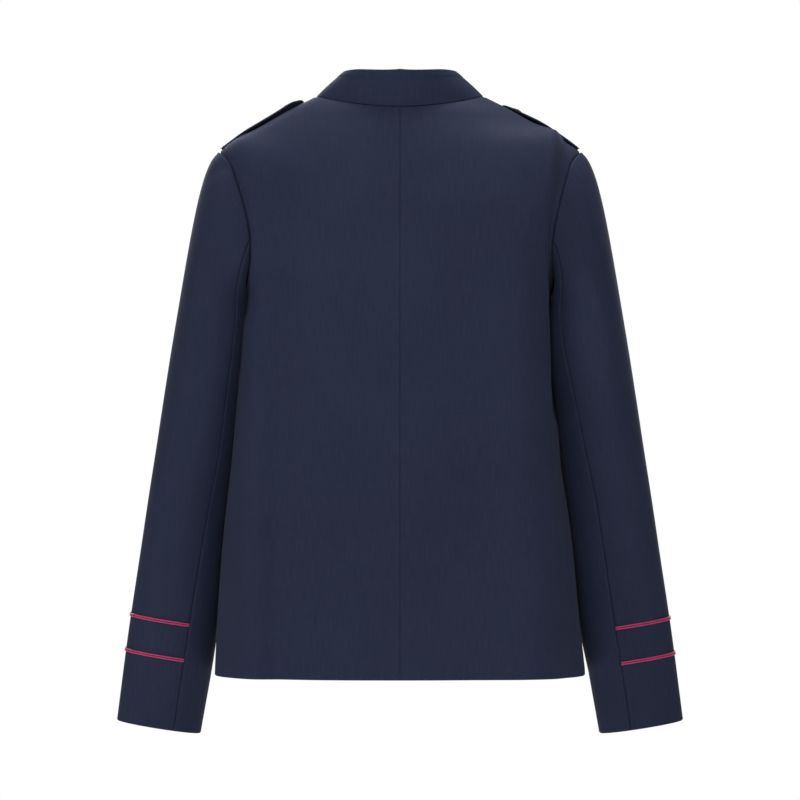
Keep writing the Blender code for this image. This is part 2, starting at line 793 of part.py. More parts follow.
def material(colour):
    name = "finish_" + colour.hexed
    found = bpy.data.materials.get(name)
    if found:
        return found
    made = bpy.data.materials.new(name)
    made.use_nodes = True
    shader = made.node_tree.nodes["Principled BSDF"]
    parts = [int(colour.hexed[i : i + 2], 16) / 255 for i in (0, 2, 4)]
    linear = [p / 12.92 if p <= 0.04045 else ((p + 0.055) / 1.055) ** 2.4 for p in parts]
    shader.inputs["Base Color"].default_value = (*linear, 1)
    shader.inputs["Roughness"].default_value = colour.roughness
    shader.inputs["Metallic"].default_value = colour.metallic
    return made


def build():
    for old in list(bpy.data.objects):
        bpy.data.objects.remove(old)
    for side in ("left", "right"):
        for panel in ("back", "front"):
            wall(f"{panel}_{side}", panel_grid(side, panel), CLOTH, NAVY)
        for which in ("upper", "under"):
            wall(f"sleeve_{which}_{side}", sleeve_grid(which, side), CLOTH, NAVY)
        wall(f"epaulette_{side}", strap_grid(side), STRAP_WALL, NAVY, gap=0.0)
        for braid in BRAIDS:
            band = braid_grid(getattr(braid, side), side)
            wall(f"braid_{braid.place}_{side}", band, BRAID_HEIGHT, CRIMSON, gap=0.0)
    wall("collar", collar_grid(), COLLAR_WALL, NAVY, gap=0.0)
    lap = CLOTH + 2 * RESTING_GAP
    for k in range(FRONT_BUTTONS):
        spot = on_form(0, FRONT_BUTTON_TOP - k * FRONT_BUTTON_PITCH, "front")
        out = form_normal(spot, "front")
        seat = spot + out * lap
        button(f"front_button_{k + 1}", seat, out, FRONT_BUTTON_RADIUS, FRONT_BUTTON_HEIGHT)
    for side in ("left", "right"):
        out = strap_normal(0, STRAP_BUTTON_PLACE, side)
        seat = strap_under(0, STRAP_BUTTON_PLACE, side) + out * (STRAP_WALL + RESTING_GAP)
        if side == "right":
            seat, out = mirrored(seat), mirrored(out)
        button(f"epaulette_button_{side}", seat, out, STRAP_BUTTON_RADIUS, STRAP_BUTTON_HEIGHT)


build()
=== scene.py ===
"""Looks of the stand-collar military-style jacket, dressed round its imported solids.

Metres, in the solids' own frame: +Z up, the front faces -Y and the wearer's left is +X.
Every cloth piece is a thin shell that is worked out the way its solid was, at a finer step,
with its seams rolled in, its soft folds and its sewing. The tables of sizes are nearly the
solids' own: here the folds are deeper, the sleeves lie closer to the body, the right side
falls in beside its sleeve, and the collar's top stands further back. Pieces are worked out
for the wearer's left and mirrored for the right. Each fold and crease names its own side.
"""

import math
from collections import namedtuple

import bmesh
import bpy
import numpy as np
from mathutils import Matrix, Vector


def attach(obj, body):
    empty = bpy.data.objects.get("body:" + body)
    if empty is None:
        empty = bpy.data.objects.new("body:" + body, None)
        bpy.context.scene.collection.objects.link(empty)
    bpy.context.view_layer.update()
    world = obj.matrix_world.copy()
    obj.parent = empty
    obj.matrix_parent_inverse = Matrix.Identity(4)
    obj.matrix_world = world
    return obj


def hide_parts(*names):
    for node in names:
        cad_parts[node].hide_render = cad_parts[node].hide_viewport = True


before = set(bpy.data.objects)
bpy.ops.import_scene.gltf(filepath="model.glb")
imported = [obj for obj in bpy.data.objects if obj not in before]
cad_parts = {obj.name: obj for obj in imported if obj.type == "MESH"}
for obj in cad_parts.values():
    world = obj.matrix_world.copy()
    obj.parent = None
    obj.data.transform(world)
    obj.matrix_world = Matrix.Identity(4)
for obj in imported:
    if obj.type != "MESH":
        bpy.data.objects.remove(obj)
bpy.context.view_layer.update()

# Cloth, seams and edges
CLOTH = 0.0020
COLLAR_WALL = 0.0030
STRAP_WALL = 0.0022
SEAM_OVERLAP = 0.0004
SEAM_ROLL_DEPTH = 0.0018
SEAM_ROLL_REACH = 0.0015
EDGE_ROUNDING = 0.0009
MITRE_BLEND = 0.006
LEAST_MITRE = 0.45
RESTING_GAP = 0.0004
CREASED_FROM = math.radians(60)

# The lengthwise sleeve seams are pressed to one side, where these pieces roll in less.
FLAT_PRESSED = [("under", "left"), ("upper", "right")]
FLAT_SIDE_ROLL = 0.8

# Landmarks of the cut
NECK_SIDE = 0.087
SHOULDER_TIP_HEIGHT = -0.059
UNDERARM_HEIGHT = -0.200
HEM_HEIGHT = -0.607
LAP = 0.020
LAP_RAMP = 0.035
LAP_LIFT = CLOTH + 2 * RESTING_GAP

# The torso's form: level rings, each half a superellipse.
Ring = namedtuple("Ring", "height half_width back front squareness")
RINGS = [
    Ring(0.000, 0.0870, 0.0340, 0.0300, 2.10),
    Ring(-0.0125, 0.1117, 0.0490, 0.0345, 2.10),
    Ring(-0.0277, 0.1389, 0.0590, 0.0410, 2.10),
    Ring(-0.0432, 0.1648, 0.0680, 0.0480, 2.10),
    Ring(-0.059, 0.1890, 0.0755, 0.0558, 2.10),
    Ring(-0.075, 0.1985, 0.0820, 0.0635, 2.13),
    Ring(-0.095, 0.2010, 0.0890, 0.0725, 2.18),
    Ring(-0.120, 0.1975, 0.0960, 0.0838, 2.25),
    Ring(-0.150, 0.1870, 0.1010, 0.0955, 2.34),
    Ring(-0.180, 0.1725, 0.1030, 0.1050, 2.43),
    Ring(-0.200, 0.1625, 0.1035, 0.1105, 2.48),
    Ring(-0.235, 0.1600, 0.1035, 0.1165, 2.52),
    Ring(-0.270, 0.1620, 0.1025, 0.1180, 2.55),
    Ring(-0.320, 0.1670, 0.1005, 0.1165, 2.60),
    Ring(-0.380, 0.1735, 0.0990, 0.1135, 2.60),
    Ring(-0.450, 0.1830, 0.0985, 0.1110, 2.60),
    Ring(-0.530, 0.1900, 0.0990, 0.1090, 2.60),
    Ring(-0.620, 0.1950, 0.1000, 0.1080, 2.60),
]

# How far out the armhole seam runs at each height, on the back and on the front.
Armhole = namedtuple("Armhole", "height back front")
ARMHOLE = [
    Armhole(-0.059, 0.1890, 0.1890),
    Armhole(-0.069, 0.1800, 0.1780),
    Armhole(-0.090, 0.1715, 0.1680),
    Armhole(-0.119, 0.1630, 0.1570),
    Armhole(-0.149, 0.1570, 0.1510),
    Armhole(-0.170, 0.1565, 0.1510),
    Armhole(-0.185, 0.1580, 0.1540),
    Armhole(-0.200, 0.1625, 0.1625),
]

# The left armhole seam lies a little nearer the centre than the right one.
ARMHOLE_LEAN = {"left": -0.0018, "right": 0.0018}

# The angle round the armhole at which the lengthwise sleeve seams start, from the shoulder.
# Past it, the panels' rows reach on under the arm.
SEAM_START = 110

# Soft troughs (positive depth) and ridges (negative depth) of the body's cloth. inner and
# outer are how far each fades towards the centre and towards the side. A ridge of the CRISP
# panel falls evenly on its outer side.
Fold = namedtuple("Fold", "side panel across_top across_low top low inner outer depth")
FOLDS = [
    Fold("left", "back", 0.163, 0.152, -0.044, -0.110, 0.022, 0.020, -0.0044),
    Fold("left", "back", 0.152, 0.147, -0.110, -0.230, 0.012, 0.012, -0.0046),
    Fold("left", "back", 0.147, 0.150, -0.230, -0.660, 0.011, 0.024, -0.0088),
    Fold("left", "back", 0.124, 0.126, -0.200, -0.640, 0.034, 0.010, 0.0048),
    Fold("left", "back", 0.112, 0.060, -0.070, -0.180, 0.020, 0.020, -0.0016),
    Fold("right", "back", 0.160, 0.151, -0.040, -0.100, 0.060, 0.014, -0.0110),
    Fold("right", "back", 0.151, 0.145, -0.100, -0.140, 0.065, 0.011, -0.0115),
    Fold("right", "back", 0.145, 0.145, -0.140, -0.220, 0.065, 0.009, -0.0115),
    Fold("right", "back", 0.145, 0.149, -0.220, -0.340, 0.065, 0.009, -0.0110),
    Fold("right", "back", 0.149, 0.160, -0.340, -0.660, 0.065, 0.018, -0.0100),
    Fold("right", "back", 0.080, 0.090, -0.130, -0.660, 0.040, 0.030, 0.0040),
    Fold("left", "front", 0.148, 0.142, -0.080, -0.210, 0.020, 0.009, 0.0034),
    Fold("left", "front", 0.122, 0.138, -0.240, -0.640, 0.020, 0.020, 0.0036),
    Fold("left", "front", 0.078, 0.086, -0.230, -0.640, 0.024, 0.024, -0.0024),
    Fold("right", "front", 0.146, 0.140, -0.075, -0.190, 0.018, 0.009, 0.0030),
    Fold("right", "front", 0.114, 0.126, -0.260, -0.640, 0.022, 0.022, 0.0040),
    Fold("right", "front", 0.072, 0.084, -0.220, -0.640, 0.026, 0.026, -0.0026),
]
CRISP = ("right", "back")
FOLD_FADE = 0.030
SEAM_FADE = 0.007

# The hem hangs in a little, and less near the side seams.
HEM_TUCK = 0.0045
HEM_TUCK_REACH = 0.055

# The centre back seam is pressed open, so the cloth rolls in less there, as it does this far
# from another seam.
CENTRE_SEAM_PRESSED = 0.0005

# Pressed seam allowances show beside a seam as a low step of this width.
PRESSED_WIDTH = 0.0042
PRESSED_STEP = 0.0009
PRESSED_RISE = 0.0004

# Dimples and soft creases of the sleeves, by the angle round and the height
Crease = namedtuple("Crease", "side angle_top angle_low top low spread depth")
CREASES = [
    Crease("left", 38, 30, -0.066, -0.085, 9, 0.0022),
    Crease("left", 62, 84, -0.120, -0.240, 11, 0.0016),
    Crease("left", 88, 60, -0.330, -0.420, 12, 0.0018),
    Crease("left", 40, 62, -0.400, -0.520, 12, -0.0012),
    Crease("left", 250, 290, -0.330, -0.430, 12, 0.0020),
    Crease("right", 84, 60, -0.110, -0.230, 12, 0.0014),
    Crease("right", 90, 64, -0.350, -0.440, 12, 0.0018),
    Crease("right", 50, 76, -0.450, -0.590, 13, -0.0012),
    Crease("right", 250, 285, -0.340, -0.450, 12, 0.0020),
]
CREASE_FADE = 0.022

# The sleeve's cross-sections below the armhole: half_width is its outer half's and
# half_inner the half's beside the body. tilt turns the outer end up, in degrees.
Section = namedtuple("Section", "height across deep half_width half_inner half_depth tilt")
SLEEVE = [
    Section(-0.222, 0.2005, -0.002, 0.0320, 0.0480, 0.0620, 0.0),
    Section(-0.267, 0.2050, -0.004, 0.0350, 0.0490, 0.0605, 2.0),
    Section(-0.319, 0.2108, -0.008, 0.0375, 0.0470, 0.0575, 4.0),
    Section(-0.371, 0.2172, -0.013, 0.0392, 0.0475, 0.0530, 5.5),
    Section(-0.424, 0.2248, -0.019, 0.0402, 0.0480, 0.0490, 7.0),
    Section(-0.487, 0.2330, -0.027, 0.0418, 0.0490, 0.0455, 8.3),
    Section(-0.571, 0.2440, -0.038, 0.0440, 0.0495, 0.0400, 9.2),
    Section(-0.665, 0.2560, -0.051, 0.0450, 0.0450, 0.0365, 9.1),
]
SLEEVE_SQUARENESS = 2.15

# How the sleeve gives way to the body that it lies against
ARM_CLEARANCE = 0.0004
ARM_SOFTNESS = 0.0016
ARM_RAMP = 0.012

# How the sleeve head leaves the armhole, by the angle round the seam: 0 at the shoulder,
# 90 at the back, 180 under the arm, 270 at the front.
Head = namedtuple("Head", "angle out back up run")
SLEEVE_HEAD = [
    Head(0, 0.018, 0.000, -0.008, 0.098),
    Head(40, 0.017, 0.006, -0.010, 0.085),
    Head(80, 0.014, 0.006, -0.016, 0.040),
    Head(115, 0.009, 0.005, -0.014, 0.018),
    Head(150, 0.003, 0.005, -0.009, 0.010),
    Head(180, 0.000, 0.000, -0.007, 0.007),
    Head(210, 0.003, -0.005, -0.009, 0.010),
    Head(245, 0.009, -0.005, -0.014, 0.018),
    Head(280, 0.014, -0.006, -0.016, 0.040),
    Head(320, 0.017, -0.006, -0.010, 0.085),
    Head(360, 0.018, 0.000, -0.008, 0.098),
]

# Where the two lengthwise sleeve seams lie, as angles round each sleeve.
SleeveSeam = namedtuple("SleeveSeam", "height back_left back_right front")
SLEEVE_SEAMS = [
    SleeveSeam(-0.156, SEAM_START, SEAM_START, 360 - SEAM_START),
    SleeveSeam(-0.222, 128.5, 130.0, 240.0),
    SleeveSeam(-0.267, 127.7, 126.0, 239.0),
    SleeveSeam(-0.319, 128.2, 121.0, 238.5),
    SleeveSeam(-0.371, 126.9, 115.2, 238.5),
    SleeveSeam(-0.424, 122.1, 110.8, 239.0),
    SleeveSeam(-0.487, 116.9, 108.4, 239.5),
    SleeveSeam(-0.571, 112.7, 106.7, 239.0),
    SleeveSeam(-0.665, 111.5, 105.0, 236.0),
]

# The stand collar, by the angle round the neck from the centre back.
NECK_BACK = 0.050
NECK_FRONT = 0.062
COLLAR_TOP_SIDE = 0.059
COLLAR_TOP_BACK = 0.051
COLLAR_TOP_FRONT = 0.057
COLLAR_END = 0.0016
COLLAR_SEAT = 0.0012
CollarRise = namedtuple("CollarRise", "angle rise")
COLLAR_RISES = [
    CollarRise(0, 0.0382),
    CollarRise(45, 0.0330),
    CollarRise(90, 0.0250),
    CollarRise(135, 0.0310),
    CollarRise(180, 0.0340),
]
COLLAR_BOW = 0.0012

# The allowance turned in along the collar's edges shows as a low step at this distance.
COLLAR_TURNING = 0.0085
COLLAR_TURNING_STEP = 0.0012
COLLAR_TURNING_RISE = 0.0005

# Shoulder straps
STRAP_START = 0.1865
STRAP_LENGTH = {"left": 0.086, "right": 0.081}
STRAP_HALF_SEWN = 0.022
STRAP_HALF_FREE = 0.018
STRAP_CENTRE = -0.013
STRAP_POINT = 0.012
STRAP_LAY_DOWN = 0.030
STRAP_SLOPE = 0.30
STRAP_DRAPE = {"left": 0.35, "right": 0.80}
STRAP_FROM_SEAM = 0.0025
STRAP_LEAST_EDGE = 0.0002
StrapLift = namedtuple("StrapLift", "along left right")
STRAP_LIFTS = [
    StrapLift(0.000, 0.0000, 0.0000),
    StrapLift(0.020, 0.0010, 0.0020),
    StrapLift(0.040, 0.0012, 0.0028),
    StrapLift(0.058, 0.0020, 0.0012),
    StrapLift(0.075, 0.0034, 0.0001),
    StrapLift(0.090, 0.0020, 0.0001),
]

# Cuff braid: a soutache of two round cords, by its distance from the cuff. The cords stop
# BRAID_END degrees short of the lengthwise seams.
BRAID_WIDTH = 0.0042
BRAID_SEAT = 0.0008
BRAID_END = 1.0
BRAID_POINTS = 120
Braid = namedtuple("Braid", "place left right")
BRAIDS = [
    Braid("lower", 0.0755, 0.0715),
    Braid("upper", 0.1130, 0.1090),
]

# Buttons
FRONT_BUTTONS = 6
FRONT_BUTTON_TOP = -0.094
FRONT_BUTTON_PITCH = 0.088
FRONT_BUTTON_RADIUS = 0.0095
FRONT_BUTTON_HEIGHT = 0.0060
STRAP_BUTTON_RADIUS = 0.0072
STRAP_BUTTON_HEIGHT = 0.0036
STRAP_BUTTON_PLACE = 0.81
BUTTON_FACETS = 48
BUTTON_WELD = 0.00001

# Half a button's section from its shank to the top of its dome, as shares of its radius
# and its height
Profile = namedtuple("Profile", "out up")
BUTTON_PROFILE = [
    Profile(0.00, 0.00),
    Profile(0.22, 0.00),
    Profile(0.22, 0.26),
    Profile(0.80, 0.28),
    Profile(0.93, 0.31),
    Profile(0.985, 0.37),
    Profile(1.00, 0.45),
    Profile(0.985, 0.53),
    Profile(0.94, 0.58),
    Profile(0.90, 0.575),
    Profile(0.875, 0.56),
    Profile(0.85, 0.58),
    Profile(0.80, 0.66),
    Profile(0.70, 0.78),
    Profile(0.56, 0.885),
    Profile(0.40, 0.95),
    Profile(0.22, 0.987),
    Profile(0.08, 0.998),
    Profile(0.00, 1.00),
]

# Sewing. Stitches along the straps' edges are 3 mm apart, and a buttonhole is worked in
# satin stitch from just past its button's shank towards the side that pulls.
Stitch = namedtuple("Stitch", "pitch length thread turn")
TOPSTITCH = Stitch(0.0030, 0.0022, 0.0005, 0.0)
SATIN = Stitch(0.0006, 0.0017, 0.0007, math.pi / 2)
TOPSTITCH_INSET = 0.0050
THREAD_SEAT = 0.0001
BUTTONHOLE_PAST = 0.003
BUTTONHOLE_REACH = {"front": 0.019, "strap": 0.014}
BUTTONHOLE_HALF = 0.0009
BUTTONHOLE_POINTS = 24
TOPSTITCH_POINTS = 60
TOPSTITCH_END_POINTS = 24

# How far each side's cloth falls in from the form beside the sleeve: only the right one does.
SideFall = namedtuple("SideFall", "height left right")
SIDE_FALLS = [
    SideFall(-0.200, 0.0, 0.0),
    SideFall(-0.235, 0.0, 0.0052),
    SideFall(-0.320, 0.0, 0.0062),
    SideFall(-0.400, 0.0, 0.0055),
    SideFall(-0.470, 0.0, 0.0045),
    SideFall(-0.550, 0.0, 0.0030),
    SideFall(-0.600, 0.0, 0.0),
]
SIDE_FALL_START = 0.72

# What shows of each piece as it was cut, without its seam allowances and hems: the
# rectangle that it comes out of, and its own flat area.
Cut = namedtuple("Cut", "piece side width length area held sewn_to")

# Fineness of the shells. RIM_STEPS are distances from a seam or an edge.
STEP = 0.0042
FINE_STEP = 0.0036
LAP_STEP = 0.0040
ARM_STEP = 0.0046
COLLAR_STEP = 0.0012
STRAP_STEP_ACROSS = 0.0028
STRAP_STEP_ALONG = 0.0030
RIM_STEPS = [0.0, 0.0002, 0.0005, 0.0009, 0.0016, 0.0025, 0.0034, 0.0042, 0.0052, 0.0072]
HALVINGS = 40

# Rough lengths of the pieces' sides, from which their steps are counted
HALF_NECK_LENGTH = 0.100
SHOULDER_LENGTH = 0.118
ARMHOLE_LENGTH = 0.130
UNDER_ARM_LENGTH = 0.085
SIDE_SEAM_LENGTH = 0.450
HEAD_LENGTH = 0.110
ARM_LENGTH = 0.445
SLEEVE_BREADTH = {"upper": 0.175, "under": 0.085}
HALF_COLLAR_LENGTH = 0.235
COLLAR_BREADTH = 0.036
STRAP_BREADTH = 0.040
STRAP_RUN = 0.085

# How far across the yoke the neck's columns reach, and how far round the body the yoke's do,
# as shares of the panel
BELOW_NECK = 0.52
BEFORE_UNDERARM = 0.80

SIDES = ("left", "right")


# Numbers


def table_curve(rows, key, value, at):
    """A column's values at the given keys, on the smooth curve through the table's rows."""
    keys = np.array([getattr(row, key) for row in rows], float)
    values = np.array([getattr(row, value) for row in rows], float)
    if keys[0] > keys[-1]:
        keys, values = keys[::-1], values[::-1]
    slopes = np.gradient(values, keys)
    at = np.clip(at, keys[0], keys[-1])
    i = np.clip(np.searchsorted(keys, at, side="right") - 1, 0, len(keys) - 2)
    span = keys[i + 1] - keys[i]
    t = (at - keys[i]) / span
    rest = 1 - t
    ends = values[i] * rest * rest * (1 + 2 * t) + values[i + 1] * t * t * (3 - 2 * t)
    return ends + span * t * rest * (slopes[i] * rest - slopes[i + 1] * t)


def mix(a, b, t):
    return a + (b - a) * t


def ease(t):
    """0 to 1, level at both ends."""
    t = np.clip(t, 0.0, 1.0)
    return t * t * (3 - 2 * t)


def bump(distance, spread):
    """1 at the middle and fading out over the spread."""
    return np.exp(-((distance / spread) ** 2))


def unit(v):
    return v / np.maximum(np.linalg.norm(v, axis=-1, keepdims=True), 1e-12)


def mirrored(points):
    return points * np.array([-1.0, 1.0, 1.0])


def spaced(length, first_rim=True, last_rim=True, step=STEP):
    """Shares 0 to 1 along a length: close together at the rims and a step apart between."""
    near = list(RIM_STEPS) if first_rim else [0.0]
    far = [length - s for s in RIM_STEPS[::-1]] if last_rim else [length]
    count = max(2, int(round((far[0] - near[-1]) / step)))
    between = [mix(near[-1], far[0], k / count) for k in range(1, count)]
    return np.array(near + between + far) / length


# The torso's form


def ring_at(height, panel):
    return (
        table_curve(RINGS, "height", "half_width", height),
        table_curve(RINGS, "height", panel, height),
        table_curve(RINGS, "height", "squareness", height),
    )


def form_value(points, panel):
    """1 on the torso's form, and less inside it."""
    width, depth, power = ring_at(points[..., 2], panel)
    return (abs(points[..., 0]) / width) ** power + (abs(points[..., 1]) / depth) ** power


def on_form(across, height, panel):
    """Points of the torso's form at places in the front or back elevation."""
    across, height = np.broadcast_arrays(np.asarray(across, float), height)
    width, depth, power = ring_at(height, panel)
    left_over = np.maximum(0.0, 1 - (abs(across) / width) ** power)
    toward = 1 if panel == "back" else -1
    return np.stack([across, toward * depth * left_over ** (1 / power), height], -1)


def form_normal(points, panel):
    step = 0.0004
    slopes = []
    for axis in range(3):
        move = np.eye(3)[axis] * step
        slopes.append(form_value(points + move, panel) - form_value(points - move, panel))
    slopes[1] = np.where(abs(points[..., 1]) < step, 0.0, slopes[1])
    return unit(np.stack(slopes, -1))


def form_height(across, deep, panel):
    """Height of the torso's upper side over places in plan, found by halving."""
    across, deep = np.broadcast_arrays(np.asarray(across, float), deep)
    high, low = np.zeros(across.shape), np.full(across.shape, UNDERARM_HEIGHT)
    for _ in range(HALVINGS):
        middle = (high + low) / 2
        outside = form_value(np.stack([across, deep, middle], -1), panel) > 1
        high, low = np.where(outside, middle, high), np.where(outside, low, middle)
    return low


def neck_point(angle):
    """Points of the neck seam, by the angle from the centre back, 0 to 180."""
    turn = np.radians(angle)
    depth = np.where(np.cos(turn) >= 0, NECK_BACK, NECK_FRONT)
    across, deep = NECK_SIDE * np.sin(turn), depth * np.cos(turn)
    back, front = form_height(across, deep, "back"), form_height(across, deep, "front")
    return np.stack([across, deep, np.where(deep >= 0, back, front)], -1)


def armhole_point(angle, side):
    """Points of the armhole seam: 0 at the shoulder, 90 at the back, 180 under the arm."""
    angle = np.asarray(angle, float) % 360
    middle = (SHOULDER_TIP_HEIGHT + UNDERARM_HEIGHT) / 2
    height = middle + (SHOULDER_TIP_HEIGHT - middle) * np.cos(np.radians(angle))
    lean = ARMHOLE_LEAN[side] * np.sin(np.radians(angle)) ** 2
    back = on_form(table_curve(ARMHOLE, "height", "back", height) + lean, height, "back")
    front = on_form(table_curve(ARMHOLE, "height", "front", height) + lean, height, "front")
    return np.where((angle <= 180)[..., None], back, front)


def armhole_mitre(angle, side):
    """How the walls' end faces stand at the armhole: halfway between body and sleeve."""
    angle = np.asarray(angle, float)
    seam = armhole_point(angle, side)
    back = (angle % 360 <= 180)[..., None]
    body = np.where(back, form_normal(seam, "back"), form_normal(seam, "front"))
    middle = unit(body + sleeve_normal(angle, 0.0, side))
    return middle / np.maximum((middle * body).sum(-1, keepdims=True), LEAST_MITRE)


def side_fall(across, height, side):
    """How far the body's side is drawn in beside the sleeve, alike on back and front."""
    inward = table_curve(SIDE_FALLS, "height", side, np.minimum(height, UNDERARM_HEIGHT))
    share = across / ring_at(height, "back")[0]
    return inward * ease((share - SIDE_FALL_START) / (1 - SIDE_FALL_START))


# Sleeve form


def beside_body(points, side):
    """Holds the sleeve's points softly clear of the body's side, below the underarm."""
    across, deep, height = points[..., 0], points[..., 1], points[..., 2]
    halves = zip(ring_at(height, "back"), ring_at(height, "front"))
    width, depth, power = (np.where(deep >= 0, back, front) for back, front in halves)
    body = width * np.maximum(0.0, 1 - (abs(deep) / depth) ** power) ** (1 / power)
    body -= side_fall(body, height, side)
    ramp = ease((UNDERARM_HEIGHT - height) / ARM_RAMP)
    nearest = body + ARM_CLEARANCE * ramp
    room = across - nearest
    held = nearest + (room + np.hypot(room, ARM_SOFTNESS * ramp)) / 2
    return np.stack([np.where(height > UNDERARM_HEIGHT, across, held), deep, height], -1)


def arm_point(angle, height, side):
    angle, height = np.broadcast_arrays(np.asarray(angle, float), height)
    across, deep, half_width, half_inner, half_depth, tilt = (
        table_curve(SLEEVE, "height", name, height) for name in Section._fields[1:]
    )
    turn, tilt = np.radians(angle), np.radians(tilt)
    power = 2 / SLEEVE_SQUARENESS
    half_inner = half_inner + table_curve(SIDE_FALLS, "height", side, height)
    half = np.where(np.cos(turn) >= 0, half_width, half_inner)
    out = np.sign(np.cos(turn)) * abs(np.cos(turn)) ** power * half
    back = np.sign(np.sin(turn)) * abs(np.sin(turn)) ** power * half_depth
    free = np.stack([across + out * np.cos(tilt), deep + back, height + out * np.sin(tilt)], -1)
    return beside_body(free, side)


def head_point(angle, t, side):
    """Points of the sleeve head, on cubic curves from the armhole to the sleeve's tube."""
    angle, t = np.broadcast_arrays(np.asarray(angle, float) % 360, t)
    out, back, up, run = (
        table_curve(SLEEVE_HEAD, "angle", name, angle) for name in Head._fields[1:]
    )
    start = armhole_point(angle, side)
    end = arm_point(angle, SLEEVE[0].height, side)
    step = 0.002
    along = unit(arm_point(angle, SLEEVE[0].height - step, side) - end)
    first = start + np.stack([out, back, up], -1)
    second = end - along * run[..., None]
    t = t[..., None]
    rest = 1 - t
    cubic = start * rest**3 + first * 3 * t * rest**2 + second * 3 * t**2 * rest + end * t**3
    return beside_body(cubic, side)


def sleeve_point(angle, along, side):
    """Points of the sleeve: along is 0 to 1 over the head and 1 to 2 down to the cuff."""
    head = head_point(angle, np.clip(along, 0, 1), side)
    height = mix(SLEEVE[0].height, SLEEVE[-1].height, np.clip(along, 1, 2) - 1)
    arm = arm_point(np.asarray(angle, float) % 360, height, side)
    return np.where((np.asarray(along) <= 1)[..., None], head, arm)


def sleeve_normal(angle, along, side):
    step, turn = 0.002, 0.5
    low, high = np.maximum(0.0, along - step), np.minimum(2.0, along + step)
    down = sleeve_point(angle, high, side) - sleeve_point(angle, low, side)
    round_it = sleeve_point(angle + turn, along, side) - sleeve_point(angle - turn, along, side)
    return unit(np.cross(down, round_it))


def seam_angle(which, along, side):
    """Angle of a lengthwise seam at places along the sleeve."""
    arm = mix(SLEEVE[0].height, SLEEVE[-1].height, along - 1)
    head = mix(SLEEVE_SEAMS[0].height, SLEEVE[0].height, along)
    height = np.where(np.asarray(along) >= 1, arm, head)
    name = f"back_{side}" if which == "back" else "front"
    return table_curve(SLEEVE_SEAMS, "height", name, height)


# Shells


def from_line(points, line):
    """Each point's distance to a line of points, and the nearest step of that line."""
    flat = points.reshape(-1, 3)
    best = np.full(len(flat), 1e9)
    nearest = np.zeros(len(flat), int)
    for k, (a, b) in enumerate(zip(line[:-1], line[1:])):
        reach = b - a
        t = np.clip((flat - a) @ reach / max(reach @ reach, 1e-12), 0, 1)
        distance = np.linalg.norm(flat - a - t[:, None] * reach, axis=1)
        nearer = distance < best
        best[nearer] = distance[nearer]
        nearest[nearer] = k
    return best.reshape(points.shape[:-1]), nearest.reshape(points.shape[:-1])


def seam_roll(distance):
    """How far the cloth turns in beside a seam."""
    t = np.clip(1 - distance / SEAM_ROLL_REACH, 0, 1)
    return SEAM_ROLL_DEPTH * t * t


def edge_round(distance):
    """How far each face draws in beside a folded edge, as a quarter round."""
    t = np.clip(1 - distance / EDGE_ROUNDING, 0, 1)
    return EDGE_ROUNDING * (1 - np.sqrt(np.maximum(0, 1 - t * t)))


def shell(name, outer, inner, present=None, grain=None):
    """A closed shell between two grids of points, with a map of its grain in metres."""
    rows, columns = outer.shape[:2]
    if present is None:
        present = np.ones((rows, columns), bool)
    index = np.full((rows, columns), -1)
    index[present] = np.arange(present.sum())
    count = int(present.sum())
    corners = [index[:-1, :-1], index[:-1, 1:], index[1:, 1:], index[1:, :-1]]
    quads = np.stack([c.ravel() for c in corners], 1)
    quads = quads[(quads >= 0).all(1)]
    edges = np.concatenate([quads[:, [k, (k + 1) % 4]] for k in range(4)])
    known = {(int(a), int(b)) for a, b in edges}
    rim = np.array([e for e in known if e[::-1] not in known])
    walls = np.stack([rim[:, 1], rim[:, 0], rim[:, 0] + count, rim[:, 1] + count], 1)
    faces = np.concatenate([quads, quads[:, ::-1] + count, walls])
    mesh = bpy.data.meshes.new(name)
    points = np.concatenate([outer[present], inner[present]])
    mesh.from_pydata(points.tolist(), [], faces.tolist())
    if grain is not None:
        layer = mesh.uv_layers.new(name="grain")
        corner_points = np.empty(len(mesh.loops), np.int32)
        mesh.loops.foreach_get("vertex_index", corner_points)
        both = np.concatenate([grain[present], grain[present]])
        layer.data.foreach_set("uv", both[corner_points].astype(np.float32).ravel())
    mesh.shade_smooth()
    mesh.set_sharp_from_angle(angle=CREASED_FROM)
    made = bpy.data.objects.new(name, mesh)
    bpy.context.scene.collection.objects.link(made)
    facing_out(made)
    return made


def facing_out(made):
    mesh = bmesh.new()
    mesh.from_mesh(made.data)
    if mesh.calc_volume(signed=True) < 0:
        bmesh.ops.reverse_faces(mesh, faces=mesh.faces)
        mesh.to_mesh(made.data)
    mesh.free()


def reaching(grid, present):
    """The grid with its rim carried a little past the seam, so that no light comes through."""
    moved = grid.copy()
    for axis, shift in ((0, 1), (0, -1), (1, 1), (1, -1)):
        there = np.roll(present, shift, axis).copy()
        edge = [slice(None)] * 2
        edge[axis] = 0 if shift == 1 else -1
        there[tuple(edge)] = False
        inward = unit(np.roll(grid, -shift, axis) - grid)
        moved -= np.where((present & ~there)[..., None], inward * SEAM_OVERLAP, 0.0)
    return moved


def pressed(distance):
    """How far the cloth stands up over a seam's pressed allowances."""
    return PRESSED_RISE * ease((PRESSED_WIDTH - distance) / PRESSED_STEP)


def running(grid, axis, start=0):
    """Length along a grid's rows or columns, from a starting row or column."""
    steps = np.linalg.norm(np.diff(grid, axis=axis), axis=-1)
    pad = [(0, 0), (0, 0)]
    pad[axis] = (1, 0)
    total = np.cumsum(np.pad(np.nan_to_num(steps), pad), axis=axis)
    return total - np.take(total, [start], axis=axis)


# Front and back panels


